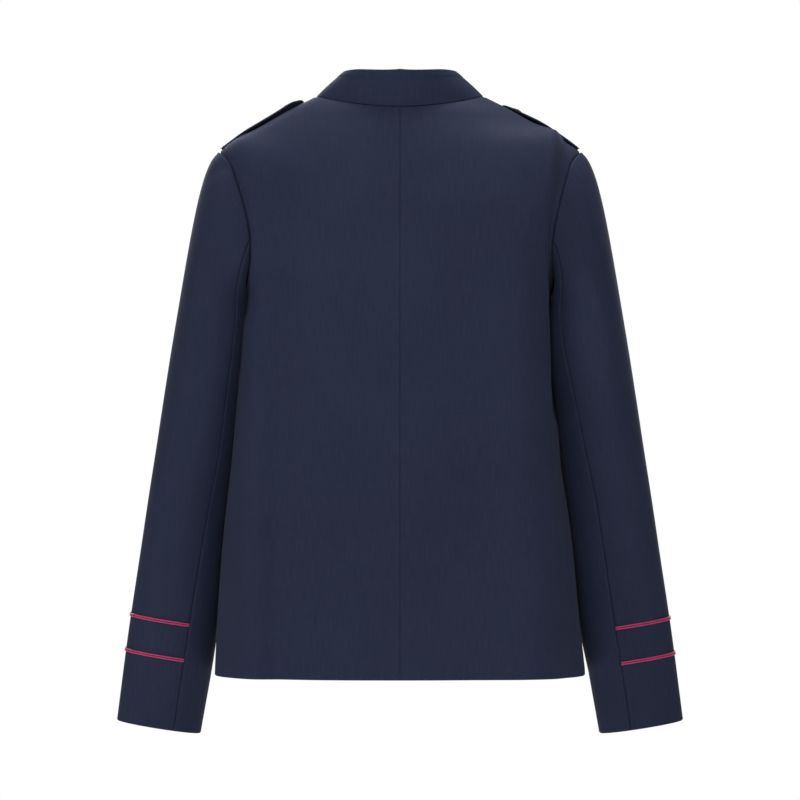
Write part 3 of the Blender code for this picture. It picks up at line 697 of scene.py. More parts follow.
def fold_depth(points, side, panel, from_seam):
    """How far the cloth's folds move points inwards."""
    depth = np.zeros(points.shape[:-1])
    height, across = points[..., 2], abs(points[..., 0])
    for fold in FOLDS:
        if fold.side != side or fold.panel != panel:
            continue
        t = np.clip((height - fold.top) / (fold.low - fold.top), 0, 1)
        away = across - mix(fold.across_top, fold.across_low, t)
        shape = bump(away, np.where(away < 0, fold.inner, fold.outer))
        if (side, panel) == CRISP and fold.depth < 0:
            shape = np.where(away < 0, shape, np.clip(1 - away / fold.outer, 0, 1))
        shape *= ease((fold.top - height) / FOLD_FADE + 0.5)
        shape *= ease((height - fold.low) / FOLD_FADE + 0.5)
        depth += fold.depth * shape
    return depth * ease(from_seam / SEAM_FADE)


def panel_points(side, panel):
    """A panel's outer points, which of them exist, and its lines of seam.

    The upper rows end at the armhole. From its hindmost point down, they reach on under
    the arm to the side seam.
    """
    neck = spaced(HALF_NECK_LENGTH, last_rim=False) * 90
    shoulder = spaced(SHOULDER_LENGTH, first_rim=False)[1:]
    angles = neck if panel == "back" else 180 - neck
    tip = armhole_point(0.0, side)[0]
    along_shoulder = mix(NECK_SIDE, tip, shoulder)
    top_shoulder = np.stack(
        [along_shoulder, 0 * shoulder, form_height(along_shoulder, 0 * shoulder, "back")], -1
    )
    top = np.concatenate([neck_point(angles), top_shoulder])
    upper = spaced(ARMHOLE_LENGTH, last_rim=False, step=FINE_STEP) * SEAM_START
    under_shares = spaced(UNDER_ARM_LENGTH, first_rim=False, step=FINE_STEP)
    under = mix(SEAM_START, 180.0, under_shares)[1:]
    if panel == "front":
        upper, under = 360 - upper, 360 - under
    seam = armhole_point(upper, side)
    share = (1 + np.cos(np.radians(upper))) / 2
    width = ring_at(seam[:, 2], panel)[0]
    reach = np.arcsin(np.minimum(1.0, seam[:, 0] / width))
    place = np.concatenate([neck / 90 * BELOW_NECK, mix(BELOW_NECK, 1.0, shoulder)])
    even = width[:, None] * np.sin(reach[:, None] * place)
    like_top = top[:, 0] * (seam[:, :1] / tip)
    across = mix(even, like_top, ease(share[:, None]) ** 0.5)
    height = mix(UNDERARM_HEIGHT, top[:, 2], share[:, None])
    yoke = on_form(across, height, panel)
    yoke[0] = top
    yoke[:, -1] = seam
    under_seam = armhole_point(under, side)
    first = np.concatenate([yoke[-1], under_seam])
    down = spaced(SIDE_SEAM_LENGTH)[1:, None]
    start_turn = np.arcsin(np.minimum(1.0, first[:, 0] / ring_at(first[:, 2], panel)[0]))
    beyond = mix(BEFORE_UNDERARM, 1.0, spaced(UNDER_ARM_LENGTH, first_rim=False)[1:])
    even_turn = np.concatenate([place * BEFORE_UNDERARM, beyond])
    old_places, new_places = np.linspace(0, 1, len(even_turn)), np.linspace(0, 1, len(first))
    even_turn = np.interp(new_places, old_places, even_turn)
    turn = mix(start_turn, even_turn * math.pi / 2, down)
    height = mix(first[:, 2], HEM_HEIGHT, down)
    body = on_form(ring_at(height, panel)[0] * np.sin(turn), height, panel)
    body[..., 0] -= side_fall(body[..., 0], height, side)
    rows, columns = len(yoke) + len(body), len(first)
    points = np.full((rows, columns, 3), np.nan)
    points[: len(yoke), : yoke.shape[1]] = yoke
    points[len(yoke) - 1] = first
    points[len(yoke) :] = body
    seams = {
        "top": top,
        "armhole": np.concatenate([seam, under_seam]),
        "side": points[len(yoke) - 1 :, -1],
        "centre": points[:, 0],
        "hem": points[-1],
    }
    return points, np.concatenate([upper, under]), seams, len(yoke) - 1


def neck_edge_height():
    """Height at which the lap's edge meets the neck seam."""
    turn = math.acos(math.sqrt(1 - (LAP / NECK_SIDE) ** 2))
    return float(form_height(LAP, -NECK_FRONT * math.cos(turn), "front"))


def add_lap(points, normals):
    """Carries a front panel past the centre line to its edge."""
    shares = spaced(LAP, last_rim=False, step=LAP_STEP)[:-1]
    height = points[:, 0, 2][:, None] * np.ones(len(shares))
    height[0] = mix(neck_edge_height(), height[0, 0], shares)
    added = on_form(-LAP * (1 - shares), height, "front")
    normal = form_normal(added, "front")
    return np.concatenate([added, points], 1), np.concatenate([normal, normals], 1)


def body_panel(side, panel):
    points, angles, seams, corner = panel_points(side, panel)
    present = ~np.isnan(points[..., 0])
    filled = np.where(present[..., None], points, points[corner])
    normals = form_normal(filled, panel)
    distances = {name: from_line(filled, line) for name, line in seams.items()}
    to_armhole, step = distances["armhole"]
    mitres = armhole_mitre(angles, side)[step]
    normals = mix(mitres, normals, ease(to_armhole / MITRE_BLEND)[..., None])
    to_seams = [distances[name][0] for name in ("top", "armhole", "side")]
    depth = fold_depth(filled, side, panel, np.minimum.reduce(to_seams))
    tuck = HEM_TUCK * np.clip(1 - distances["hem"][0] / HEM_TUCK_REACH, 0, 1) ** 2
    depth += tuck * ease(distances["side"][0] / HEM_TUCK_REACH)
    folded = filled - normals * depth[..., None]
    if panel == "back":
        to_seams.append(distances["centre"][0] + CENTRE_SEAM_PRESSED)
    to_seam = np.minimum.reduce(to_seams)
    to_edge = distances["hem"][0]
    if panel == "front":
        folded, normals = add_lap(folded, normals)
        lap_columns = folded.shape[1] - present.shape[1]
        front_edge = folded[:, 0]
        present = np.pad(present, ((0, 0), (lap_columns, 0)), constant_values=True)
        hem = folded[-1]
        to_edge = np.minimum(from_line(folded, hem)[0], from_line(folded, front_edge)[0])
        lines = [folded[0], seams["armhole"], seams["side"]]
        to_seam = np.minimum.reduce([from_line(folded, line)[0] for line in lines])
        over = LAP_LIFT if side == "right" else 0.0
        lift = over * ease(1 - (folded[..., 0] - LAP - RESTING_GAP) / LAP_RAMP)
        folded = folded + normals * lift[..., None]
    to_seam = np.where(present, to_seam, 1.0)
    drawn = seam_roll(to_seam) + edge_round(to_edge)
    if panel == "back" and side == "left":
        drawn -= pressed(distances["centre"][0])
    outer = reaching(folded, present) - normals * drawn[..., None]
    inner = reaching(folded, present) - normals * (CLOTH - edge_round(to_edge))[..., None]
    grain = np.stack([running(folded, 1), -running(folded, 0, corner)], -1)
    if side == "right":
        outer, inner = mirrored(outer), mirrored(inner)
    return shell(f"{panel}_{side}_cloth", outer, inner, present, grain)


# Sleeves


def crease_depth(points, angles, side, from_seam):
    """How far the sleeve's dimples and creases move points inwards."""
    depth = np.zeros(points.shape[:-1])
    height = points[..., 2]
    for crease in CREASES:
        if crease.side != side:
            continue
        t = np.clip((height - crease.top) / (crease.low - crease.top), 0, 1)
        away = (angles - mix(crease.angle_top, crease.angle_low, t) + 180) % 360 - 180
        shape = bump(away, crease.spread)
        shape *= ease((crease.top - height) / CREASE_FADE + 0.5)
        shape *= ease((height - crease.low) / CREASE_FADE + 0.5)
        depth += crease.depth * shape
    return depth * ease(from_seam / SEAM_FADE)


def sleeve_piece(which, side):
    """The upper or under piece of a two-piece sleeve, from the armhole to the cuff."""
    head = spaced(HEAD_LENGTH, last_rim=False, step=FINE_STEP)
    arm = spaced(ARM_LENGTH, first_rim=False, step=ARM_STEP)[1:] + 1
    along = np.concatenate([head, arm])[:, None]
    back, front = seam_angle("back", along, side), seam_angle("front", along, side)
    start, stop = (front - 360, back) if which == "upper" else (back, front)
    share = spaced(SLEEVE_BREADTH[which], step=FINE_STEP)
    angles = mix(start, stop, share)
    along = along * np.ones(angles.shape)
    points = sleeve_point(angles, along, side)
    normals = sleeve_normal(angles, along, side)
    to_top = from_line(points, points[0])[0]
    mitres = armhole_mitre(angles[0], side)[None] * np.ones(normals.shape)
    normals = mix(mitres, normals, ease(to_top / MITRE_BLEND)[..., None])
    long_seams = [from_line(points, line)[0] for line in (points[:, 0], points[:, -1])]
    to_long = np.minimum(*long_seams)
    to_seam = np.minimum(to_top, to_long)
    points = points - normals * crease_depth(points, angles, side, to_seam)[..., None]
    to_edge = from_line(points, points[-1])[0]
    present = np.ones(points.shape[:2], bool)
    flat = (which, side) in FLAT_PRESSED
    rolled = np.maximum(seam_roll(to_top), seam_roll(to_long) * (FLAT_SIDE_ROLL if flat else 1))
    drawn = rolled + edge_round(to_edge) - pressed(to_top)
    outer = reaching(points, present) - normals * drawn[..., None]
    inner = reaching(points, present) - normals * (CLOTH - edge_round(to_edge))[..., None]
    grain = np.stack([running(points, 1, points.shape[1] // 2), -running(points, 0)], -1)
    if side == "right":
        outer, inner = mirrored(outer), mirrored(inner)
    return shell(f"sleeve_{which}_{side}_cloth", outer, inner, present, grain)


# Collar


def collar_piece():
    end = 180 - math.degrees(math.asin(COLLAR_END / NECK_SIDE))
    half = spaced(HALF_COLLAR_LENGTH, first_rim=False, step=FINE_STEP) * end
    angles = np.concatenate([-half[:0:-1], half])[None]
    t = spaced(COLLAR_BREADTH, step=COLLAR_STEP)[:, None]
    turn = np.radians(abs(angles))
    foot = neck_point(abs(angles))
    depth = np.where(np.cos(turn) >= 0, COLLAR_TOP_BACK, COLLAR_TOP_FRONT)
    rise = table_curve(COLLAR_RISES, "angle", "rise", abs(angles))
    top = np.stack(
        [COLLAR_TOP_SIDE * np.sin(turn), depth * np.cos(turn), foot[..., 2] + rise], -1
    )
    bow = np.stack([np.sin(turn), np.cos(turn), 0 * turn], -1) * COLLAR_BOW
    start = foot - unit(top - foot) * COLLAR_SEAT
    bowed = (4 * t * (1 - t))[..., None] * bow
    points = mix(start, top, t[..., None]) + bowed
    points[..., 0] *= np.sign(angles)
    present = np.ones(points.shape[:2], bool)
    normals = unit(np.cross(np.gradient(points, axis=1), np.gradient(points, axis=0)))
    outward = np.stack([points[..., 0], points[..., 1], 0 * points[..., 0]], -1)
    normals *= np.sign((normals * outward).sum(-1, keepdims=True))
    lines = [points[-1], points[:, 0], points[:, -1]]
    to_edge = np.minimum.reduce([from_line(points, line)[0] for line in lines])
    to_seam = from_line(points, points[0])[0]
    turning = ease((COLLAR_TURNING - to_edge) / COLLAR_TURNING_STEP + 0.5)
    drawn = seam_roll(to_seam) + edge_round(to_edge) - COLLAR_TURNING_RISE * turning
    outer = reaching(points, present) - normals * drawn[..., None]
    inner = reaching(points, present) - normals * (COLLAR_WALL - edge_round(to_edge))[..., None]
    grain = np.stack([running(points, 1, points.shape[1] // 2), -running(points, 0)], -1)
    return shell("collar_cloth", outer, inner, present, grain)


# Shoulder straps


def armhole_across(deep, side):
    """How far out the armhole seam runs over places in plan, found by halving."""
    deep = np.asarray(deep, float)
    low, high = np.zeros(deep.shape), np.full(deep.shape, 90.0)
    for _ in range(HALVINGS):
        middle = (low + high) / 2
        seam = armhole_point(np.where(deep >= 0, middle, 360 - middle), side)
        inside = abs(seam[..., 1]) < abs(deep)
        low, high = np.where(inside, middle, low), np.where(inside, high, middle)
    return armhole_point(np.where(deep >= 0, low, 360 - low), side)[..., 0]


def roof_height(across, deep):
    back, front = form_height(across, deep, "back"), form_height(across, deep, "front")
    return np.where(deep >= 0, back, front)


def strap_under(share, t, side):
    """Points of a strap's underside: share is -1 to 1 across, t is 1 at the neck end."""
    share, t = np.broadcast_arrays(np.asarray(share, float), t)
    deep = STRAP_CENTRE + share * mix(STRAP_HALF_SEWN, STRAP_HALF_FREE, t)
    start = armhole_across(deep, side) - STRAP_FROM_SEAM
    tip = STRAP_START - STRAP_LENGTH[side] + STRAP_POINT * share * share
    across = mix(start, tip, t)
    along = STRAP_START - across
    lift = table_curve(STRAP_LIFTS, "along", side, along) + RESTING_GAP
    hugged = roof_height(across, deep)
    flat = roof_height(across, np.full(across.shape, STRAP_CENTRE))
    flat = flat + (deep - STRAP_CENTRE) * STRAP_SLOPE
    laid = mix(hugged, mix(flat, hugged, STRAP_DRAPE[side]), ease(along / STRAP_LAY_DOWN))
    return np.stack([across, deep, np.maximum(hugged, laid) + lift], -1)


def strap_normal(share, t, side):
    step = 0.02
    forward = strap_under(share, t + step, side) - strap_under(share, t - step, side)
    sideways = strap_under(share + step, t, side) - strap_under(share - step, t, side)
    return unit(np.cross(sideways, forward))


def strap_piece(side):
    share = (spaced(STRAP_BREADTH, step=STRAP_STEP_ACROSS) * 2 - 1)[:, None]
    t = spaced(STRAP_RUN, step=STRAP_STEP_ALONG)[None]
    under = strap_under(share, t, side)
    normals = strap_normal(share, t, side)
    lines = [under[0], under[-1], under[:, -1]]
    to_edge = np.minimum.reduce([from_line(under, line)[0] for line in lines])
    most = (STRAP_WALL - STRAP_LEAST_EDGE) / 2
    drawn = np.minimum(edge_round(to_edge), most)[..., None]
    outer = under + normals * (STRAP_WALL - drawn)
    inner = under + normals * drawn
    grain = np.stack([running(under, 1), running(under, 0)], -1)
    if side == "right":
        outer, inner = mirrored(outer), mirrored(inner)
    return shell(f"epaulette_{side}_cloth", outer, inner, None, grain)


# Materials


def linear(hexed):
    """An sRGB hex colour as linear red, green, blue and alpha."""
    parts = [int(hexed[i : i + 2], 16) / 255 for i in (0, 2, 4)]
    return [p / 12.92 if p <= 0.04045 else ((p + 0.055) / 1.055) ** 2.4 for p in parts] + [1.0]


def add_node(tree, kind, settings=None, inputs=None):
    """Adds a node with its settings. An input is a value, or the socket that feeds it."""
    node = tree.nodes.new(kind)
    for name, value in (settings or {}).items():
        setattr(node, name, value)
    for name, value in (inputs or {}).items():
        if isinstance(value, bpy.types.NodeSocket):
            tree.links.new(value, node.inputs[name])
        else:
            node.inputs[name].default_value = value
    return node


def new_material(name):
    """A material with only its Principled shader and output."""
    made = bpy.data.materials.new(name)
    made.use_nodes = True
    return made, made.node_tree, made.node_tree.nodes["Principled BSDF"]


def gabardine():
    """Worsted gabardine, piece-dyed navy: a smooth hard-faced cloth with a soft sheen."""
    made, tree, shader = new_material("navy_worsted_gabardine")
    grain = add_node(tree, "ShaderNodeUVMap", {"uv_map": "grain"})
    place = add_node(tree, "ShaderNodeTexCoord")
    # Warp yarns run down the grain. Real ones are 0.3 mm apart, which is too fine to show, so
    # they are drawn 1 mm apart and 25 mm long, and weft ones 0.8 mm apart and 11 mm long.
    warp_map = add_node(
        tree, "ShaderNodeMapping", inputs={"Vector": grain.outputs["UV"], "Scale": (1000, 40, 1)}
    )
    warp = add_node(
        tree,
        "ShaderNodeTexNoise",
        inputs={"Vector": warp_map.outputs["Vector"], "Scale": 1.0, "Detail": 3.0, "Roughness": 0.6},
    )
    weft_map = add_node(
        tree, "ShaderNodeMapping", inputs={"Vector": grain.outputs["UV"], "Scale": (90, 1300, 1)}
    )
    weft = add_node(
        tree,
        "ShaderNodeTexNoise",
        inputs={"Vector": weft_map.outputs["Vector"], "Scale": 1.0, "Detail": 2.0, "Roughness": 0.6},
    )
    # Pressing leaves the cloth faintly uneven, in patches 140 mm across.
    cloud = add_node(
        tree,
        "ShaderNodeTexNoise",
        inputs={"Vector": place.outputs["Object"], "Scale": 7.0, "Detail": 3.0, "Roughness": 0.5},
    )
    yarns = add_node(
        tree,
        "ShaderNodeMix",
        {"data_type": "FLOAT"},
        {"Factor": 0.35, "A": warp.outputs["Fac"], "B": weft.outputs["Fac"]},
    )
    tone = add_node(
        tree,
        "ShaderNodeMix",
        {"data_type": "FLOAT"},
        {"Factor": 0.30, "A": yarns.outputs["Result"], "B": cloud.outputs["Fac"]},
    )
    ramp = add_node(tree, "ShaderNodeValToRGB", inputs={"Fac": tone.outputs["Result"]})
    ramp.color_ramp.elements[0].position = 0.30
    ramp.color_ramp.elements[0].color = linear("2a3047")
    ramp.color_ramp.elements[1].position = 0.70
    ramp.color_ramp.elements[1].color = linear("3a415b")
    relief = add_node(
        tree,
        "ShaderNodeBump",
        inputs={"Strength": 0.25, "Distance": 0.0003, "Height": yarns.outputs["Result"]},
    )
    rough = add_node(
        tree,
        "ShaderNodeMapRange",
        inputs={
            "Value": tone.outputs["Result"],
            "From Min": 0.3,
            "From Max": 0.7,
            "To Min": 0.74,
            "To Max": 0.64,
        },
    )
    tree.links.new(ramp.outputs["Color"], shader.inputs["Base Color"])
    tree.links.new(rough.outputs["Result"], shader.inputs["Roughness"])
    tree.links.new(relief.outputs["Normal"], shader.inputs["Normal"])
    shader.inputs["IOR"].default_value = 1.45
    shader.inputs["Specular IOR Level"].default_value = 0.12
    shader.inputs["Sheen Weight"].default_value = 0.04
    shader.inputs["Sheen Roughness"].default_value = 0.45
    return made


def rayon_braid():
    """Viscose soutache braid, dyed crimson: lustrous cords flecked with paler and darker fibres."""
    made, tree, shader = new_material("crimson_viscose_soutache")
    place = add_node(tree, "ShaderNodeTexCoord")
    # Fibres show as flecks 0.4 mm across.
    fibres = add_node(
        tree,
        "ShaderNodeTexNoise",
        inputs={"Vector": place.outputs["Object"], "Scale": 2600.0, "Detail": 2.0},
    )
    ramp = add_node(tree, "ShaderNodeValToRGB", inputs={"Fac": fibres.outputs["Fac"]})
    ramp.color_ramp.elements[0].position = 0.30
    ramp.color_ramp.elements[0].color = linear("bc1c5c")
    ramp.color_ramp.elements[1].position = 0.72
    ramp.color_ramp.elements[1].color = linear("fa5a9c")
    relief = add_node(
        tree,
        "ShaderNodeBump",
        inputs={"Strength": 0.4, "Distance": 0.0002, "Height": fibres.outputs["Fac"]},
    )
    tree.links.new(ramp.outputs["Color"], shader.inputs["Base Color"])
    tree.links.new(relief.outputs["Normal"], shader.inputs["Normal"])
    shader.inputs["Roughness"].default_value = 0.38
    shader.inputs["Sheen Weight"].default_value = 0.2
    return made


def stamped_brass():
    """Stamped brass, lacquered: warm and softly mirrored, duller where it is handled."""
    made, tree, shader = new_material("lacquered_stamped_brass")
    place = add_node(tree, "ShaderNodeTexCoord")
    # Handled patches are about 2.4 mm across.
    wear = add_node(
        tree,
        "ShaderNodeTexNoise",
        inputs={"Vector": place.outputs["Object"], "Scale": 420.0, "Detail": 5.0},
    )
    ramp = add_node(tree, "ShaderNodeValToRGB", inputs={"Fac": wear.outputs["Fac"]})
    ramp.color_ramp.elements[0].position = 0.35
    ramp.color_ramp.elements[0].color = linear("a07a38")
    ramp.color_ramp.elements[1].position = 0.65
    ramp.color_ramp.elements[1].color = linear("c9a15a")
    rough = add_node(
        tree,
        "ShaderNodeMapRange",
        inputs={"Value": wear.outputs["Fac"], "To Min": 0.20, "To Max": 0.40},
    )
    tree.links.new(ramp.outputs["Color"], shader.inputs["Base Color"])
    tree.links.new(rough.outputs["Result"], shader.inputs["Roughness"])
    shader.inputs["Metallic"].default_value = 1.0
    return made


def sewing_thread():
    """Spun polyester thread in the cloth's own navy, painted a little lighter as painted sheen for
    its lustre.
    """
    made, tree, shader = new_material("navy_polyester_thread")
    place = add_node(tree, "ShaderNodeTexCoord")
    # The twist of the thread's plies repeats each 0.3 mm.
    twist = add_node(
        tree,
        "ShaderNodeTexNoise",
        inputs={"Vector": place.outputs["Object"], "Scale": 3000.0, "Detail": 1.0},
    )
    ramp = add_node(tree, "ShaderNodeValToRGB", inputs={"Fac": twist.outputs["Fac"]})
    # Both colours are lighter than the cloth's navy: a painted sheen for the thread's lustre.
    ramp.color_ramp.elements[0].color = linear("262c40")
    ramp.color_ramp.elements[1].color = linear("3d4561")
    tree.links.new(ramp.outputs["Color"], shader.inputs["Base Color"])
    shader.inputs["Roughness"].default_value = 0.5
    return made


# Sewing and braid, by Geometry Nodes


def new_tree(name, sizes):
    """A node group that takes a path and a material, with a named input for each size."""
    tree = bpy.data.node_groups.new(name, "GeometryNodeTree")
    tree.interface.new_socket("Path", in_out="INPUT", socket_type="NodeSocketGeometry")
    for size, value in sizes.items():
        socket = tree.interface.new_socket(size, in_out="INPUT", socket_type="NodeSocketFloat")
        socket.default_value = value
    tree.interface.new_socket("Finish", in_out="INPUT", socket_type="NodeSocketMaterial")
    tree.interface.new_socket("Made", in_out="OUTPUT", socket_type="NodeSocketGeometry")
    return tree, add_node(tree, "NodeGroupInput").outputs


def end_tree(tree, made, finish):
    """Ends a tree with its instances made real and its material set."""
    real = add_node(tree, "GeometryNodeRealizeInstances", inputs={"Geometry": made})
    dressed = add_node(
        tree,
        "GeometryNodeSetMaterial",
        inputs={"Geometry": real.outputs["Geometry"], "Material": finish},
    )
    smooth = add_node(
        tree, "GeometryNodeSetShadeSmooth", inputs={"Geometry": dressed.outputs["Geometry"]}
    )
    output = add_node(tree, "NodeGroupOutput")
    tree.links.new(smooth.outputs["Geometry"], output.inputs["Made"])


def laid_on_path(tree, path, pitch, turn):
    """Points a pitch apart on the path, each turned along it and facing off the cloth."""
    curve = add_node(tree, "GeometryNodeMeshToCurve", inputs={"Mesh": path})
    along = add_node(
        tree,
        "GeometryNodeCurveToPoints",
        {"mode": "LENGTH"},
        {"Curve": curve.outputs["Curve"], "Length": pitch},
    )
    off_cloth = add_node(
        tree, "GeometryNodeInputNamedAttribute", {"data_type": "FLOAT_VECTOR"}, {"Name": "off_cloth"}
    )
    facing = add_node(
        tree,
        "FunctionNodeAlignRotationToVector",
        {"axis": "X"},
        {"Vector": along.outputs["Tangent"]},
    )
    upright = add_node(
        tree,
        "FunctionNodeAlignRotationToVector",
        {"axis": "Z", "pivot_axis": "X"},
        {"Rotation": facing.outputs["Rotation"], "Vector": off_cloth.outputs["Attribute"]},
    )
    spin = add_node(
        tree, "FunctionNodeAxisAngleToRotation", inputs={"Axis": (0, 0, 1), "Angle": turn}
    )
    turned = add_node(
        tree,
        "FunctionNodeRotateRotation",
        {"rotation_space": "LOCAL"},
        {"Rotation": upright.outputs["Rotation"], "Rotate By": spin.outputs["Rotation"]},
    )
    return along.outputs["Points"], turned.outputs["Rotation"]


def thread_bead(tree, length, thickness):
    """A rounded bead of thread, a few dozen faces, lying along X."""
    ball = add_node(
        tree, "GeometryNodeMeshUVSphere", inputs={"Segments": 8, "Rings": 5, "Radius": 0.5}
    )
    size = add_node(
        tree, "ShaderNodeCombineXYZ", inputs={"X": length, "Y": thickness, "Z": thickness}
    )
    shaped = add_node(
        tree,
        "GeometryNodeTransform",
        inputs={"Geometry": ball.outputs["Mesh"], "Scale": size.outputs["Vector"]},
    )
    return shaped.outputs["Geometry"]


def stitch_sizes(stitch):
    return {
        "Pitch": stitch.pitch,
        "Stitch length": stitch.length,
        "Thread": stitch.thread,
        "Turn": stitch.turn,
    }


def stitch_tree():
    """Beads of thread along a path: turned 0 for a running stitch and a quarter for a satin."""
    tree, given = new_tree("stitches along a path", stitch_sizes(TOPSTITCH))
    points, rotation = laid_on_path(tree, given["Path"], given["Pitch"], given["Turn"])
    bead = thread_bead(tree, given["Stitch length"], given["Thread"])
    stitches = add_node(
        tree,
        "GeometryNodeInstanceOnPoints",
        inputs={"Points": points, "Instance": bead, "Rotation": rotation},
    )
    end_tree(tree, stitches.outputs["Instances"], given["Finish"])
    return tree


def cord_tree():
    """One cord of a soutache braid: a round core, wrapped with slanting strands."""
    sizes = {"Core": 0.0008, "Pitch": 0.0009, "Strand": 0.0007, "Wrap": 0.0024, "Slant": 0.9}
    tree, given = new_tree("soutache cord along a path", sizes)
    curve = add_node(tree, "GeometryNodeMeshToCurve", inputs={"Mesh": given["Path"]})
    ring = add_node(
        tree, "GeometryNodeCurvePrimitiveCircle", inputs={"Resolution": 10, "Radius": given["Core"]}
    )
    core = add_node(
        tree,
        "GeometryNodeCurveToMesh",
        inputs={
            "Curve": curve.outputs["Curve"],
            "Profile Curve": ring.outputs["Curve"],
            "Fill Caps": True,
        },
    )
    points, rotation = laid_on_path(tree, given["Path"], given["Pitch"], given["Slant"])
    strand = thread_bead(tree, given["Wrap"], given["Strand"])
    strands = add_node(
        tree,
        "GeometryNodeInstanceOnPoints",
        inputs={"Points": points, "Instance": strand, "Rotation": rotation},
    )
    both = add_node(tree, "GeometryNodeJoinGeometry")
    tree.links.new(core.outputs["Mesh"], both.inputs["Geometry"])
    tree.links.new(strands.outputs["Instances"], both.inputs["Geometry"])
    end_tree(tree, both.outputs["Geometry"], given["Finish"])
    return tree


def along_paths(name, tree, paths, sizes, finish):
    """Runs a tree on paths, each (points, directions off the cloth, closed)."""
    mesh = bpy.data.meshes.new(name + "_path")
    points, edges, off_cloth = [], [], []
    for line, facing, closed in paths:
        first = len(points)
        points += [tuple(p) for p in line]
        off_cloth += [tuple(n) for n in facing]
        edges += [(first + k, first + k + 1) for k in range(len(line) - 1)]
        if closed:
            edges.append((first + len(line) - 1, first))
    mesh.from_pydata(points, edges, [])
    attribute = mesh.attributes.new("off_cloth", "FLOAT_VECTOR", "POINT")
    attribute.data.foreach_set("vector", np.array(off_cloth, np.float32).ravel())
    path = bpy.data.objects.new(name + "_path", mesh)
    bpy.context.scene.collection.objects.link(path)
    modifier = path.modifiers.new("made", "NODES")
    modifier.node_group = tree
    for item in tree.interface.items_tree:
        if item.in_out == "INPUT" and item.name in sizes:
            modifier[item.identifier] = sizes[item.name]
        if item.in_out == "INPUT" and item.name == "Finish":
            modifier[item.identifier] = finish
    evaluated = path.evaluated_get(bpy.context.evaluated_depsgraph_get())
    made_mesh = bpy.data.meshes.new_from_object(evaluated)
    path.modifiers.remove(modifier)
    bpy.data.objects.remove(path)
    made = bpy.data.objects.new(name, made_mesh)
    bpy.context.scene.collection.objects.link(made)
    return made


def braid_paths(from_cuff, side):
    """The middle lines of a braid's two cords, side by side on the sleeve."""
    length = SLEEVE[0].height - SLEEVE[-1].height
    paths = []
    for edge in (-0.25, 0.25):
        along = 2 - (from_cuff + edge * BRAID_WIDTH) / length
        start = float(seam_angle("front", along, side)) - 360 + BRAID_END
        stop = float(seam_angle("back", along, side)) - BRAID_END
        angles = np.linspace(start, stop, BRAID_POINTS)
        normals = sleeve_normal(angles, along, side)
        points = sleeve_point(angles, along, side) + normals * BRAID_SEAT
        if side == "right":
            points, normals = mirrored(points), mirrored(normals)
        paths.append((points, normals, False))
    return paths


def stitched(name, paths, stitch):
    return along_paths(name, stitches, paths, stitch_sizes(stitch), thread)


def on_strap(share, t, side):
    """Places on a strap's upper side, and the directions off it."""
    normals = strap_normal(share, t, side)
    points = strap_under(share, t, side) + normals * (STRAP_WALL + THREAD_SEAT)
    if side == "right":
        points, normals = mirrored(points), mirrored(normals)
    return points, normals


def strap_stitching(side):
    """A row of stitches inside the strap's free edges."""
    share = 1 - TOPSTITCH_INSET / STRAP_HALF_FREE
    end = 1 - TOPSTITCH_INSET / STRAP_LENGTH[side]
    down = np.linspace(0, end, TOPSTITCH_POINTS)
    across = np.linspace(share, -share, TOPSTITCH_END_POINTS)[1:-1]
    shares = np.concatenate([0 * down + share, across, 0 * down - share])
    places = np.concatenate([down, 0 * across + end, down[::-1]])
    path = (*on_strap(shares, places, side), False)
    return stitched(f"epaulette_{side}_stitching", [path], TOPSTITCH)


def slit_outline(reach):
    """Offsets of a buttonhole's stitched edge: along the slit, and across it."""
    along = np.linspace(-BUTTONHOLE_PAST, reach, BUTTONHOLE_POINTS)
    back = along[::-1]
    along, across = np.concatenate([along, back]), np.repeat([1.0, -1.0], len(back))
    return along, across * BUTTONHOLE_HALF


def front_buttonholes():
    """Level buttonholes in the right front, under its buttons."""
    paths = []
    along, across = slit_outline(BUTTONHOLE_REACH["front"])
    for k in range(FRONT_BUTTONS):
        height = FRONT_BUTTON_TOP - k * FRONT_BUTTON_PITCH + across
        points = on_form(along, height, "front")
        normals = form_normal(points, "front")
        points = points + normals * (LAP_LIFT + THREAD_SEAT)
        paths.append((mirrored(points), mirrored(normals), True))
    return stitched("front_right_buttonholes", paths, SATIN)


def strap_buttonhole(side):
    """A buttonhole along the strap, from its button towards the sleeve."""
    along, across = slit_outline(BUTTONHOLE_REACH["strap"])
    places = STRAP_BUTTON_PLACE - along / STRAP_LENGTH[side]
    path = (*on_strap(across / STRAP_HALF_FREE, places, side), True)
    return stitched(f"epaulette_{side}_buttonhole", [path], SATIN)


# Buttons


def button(name, seat, direction, radius, height, finish):
    """A domed shank button: a turned-over rim, a shallow step and a polished dome."""
    mesh = bmesh.new()
    line = [mesh.verts.new((radius * p.out, 0, height * p.up)) for p in BUTTON_PROFILE]
    edges = [mesh.edges.new(pair) for pair in zip(line, line[1:])]
    bmesh.ops.spin(
        mesh,
        geom=line + edges,
        cent=(0, 0, 0),
        axis=(0, 0, 1),
        angle=2 * math.pi,
        steps=BUTTON_FACETS,
        use_merge=True,
    )
    bmesh.ops.remove_doubles(mesh, verts=mesh.verts, dist=BUTTON_WELD)
    bmesh.ops.recalc_face_normals(mesh, faces=mesh.faces)
    mesh.transform(Vector(direction).to_track_quat("Z", "Y").to_matrix().to_4x4())
    bmesh.ops.translate(mesh, vec=Vector(seat + direction * RESTING_GAP), verts=mesh.verts)
    data = bpy.data.meshes.new(name)
    mesh.to_mesh(data)
    mesh.free()
    data.shade_smooth()
    data.materials.append(finish)
    made = bpy.data.objects.new(name, data)
    bpy.context.scene.collection.objects.link(made)
    return made


# Putting the jacket together

navy = gabardine()
crimson = rayon_braid()
brass = stamped_brass()
thread = sewing_thread()
cords = cord_tree()
stitches = stitch_tree()


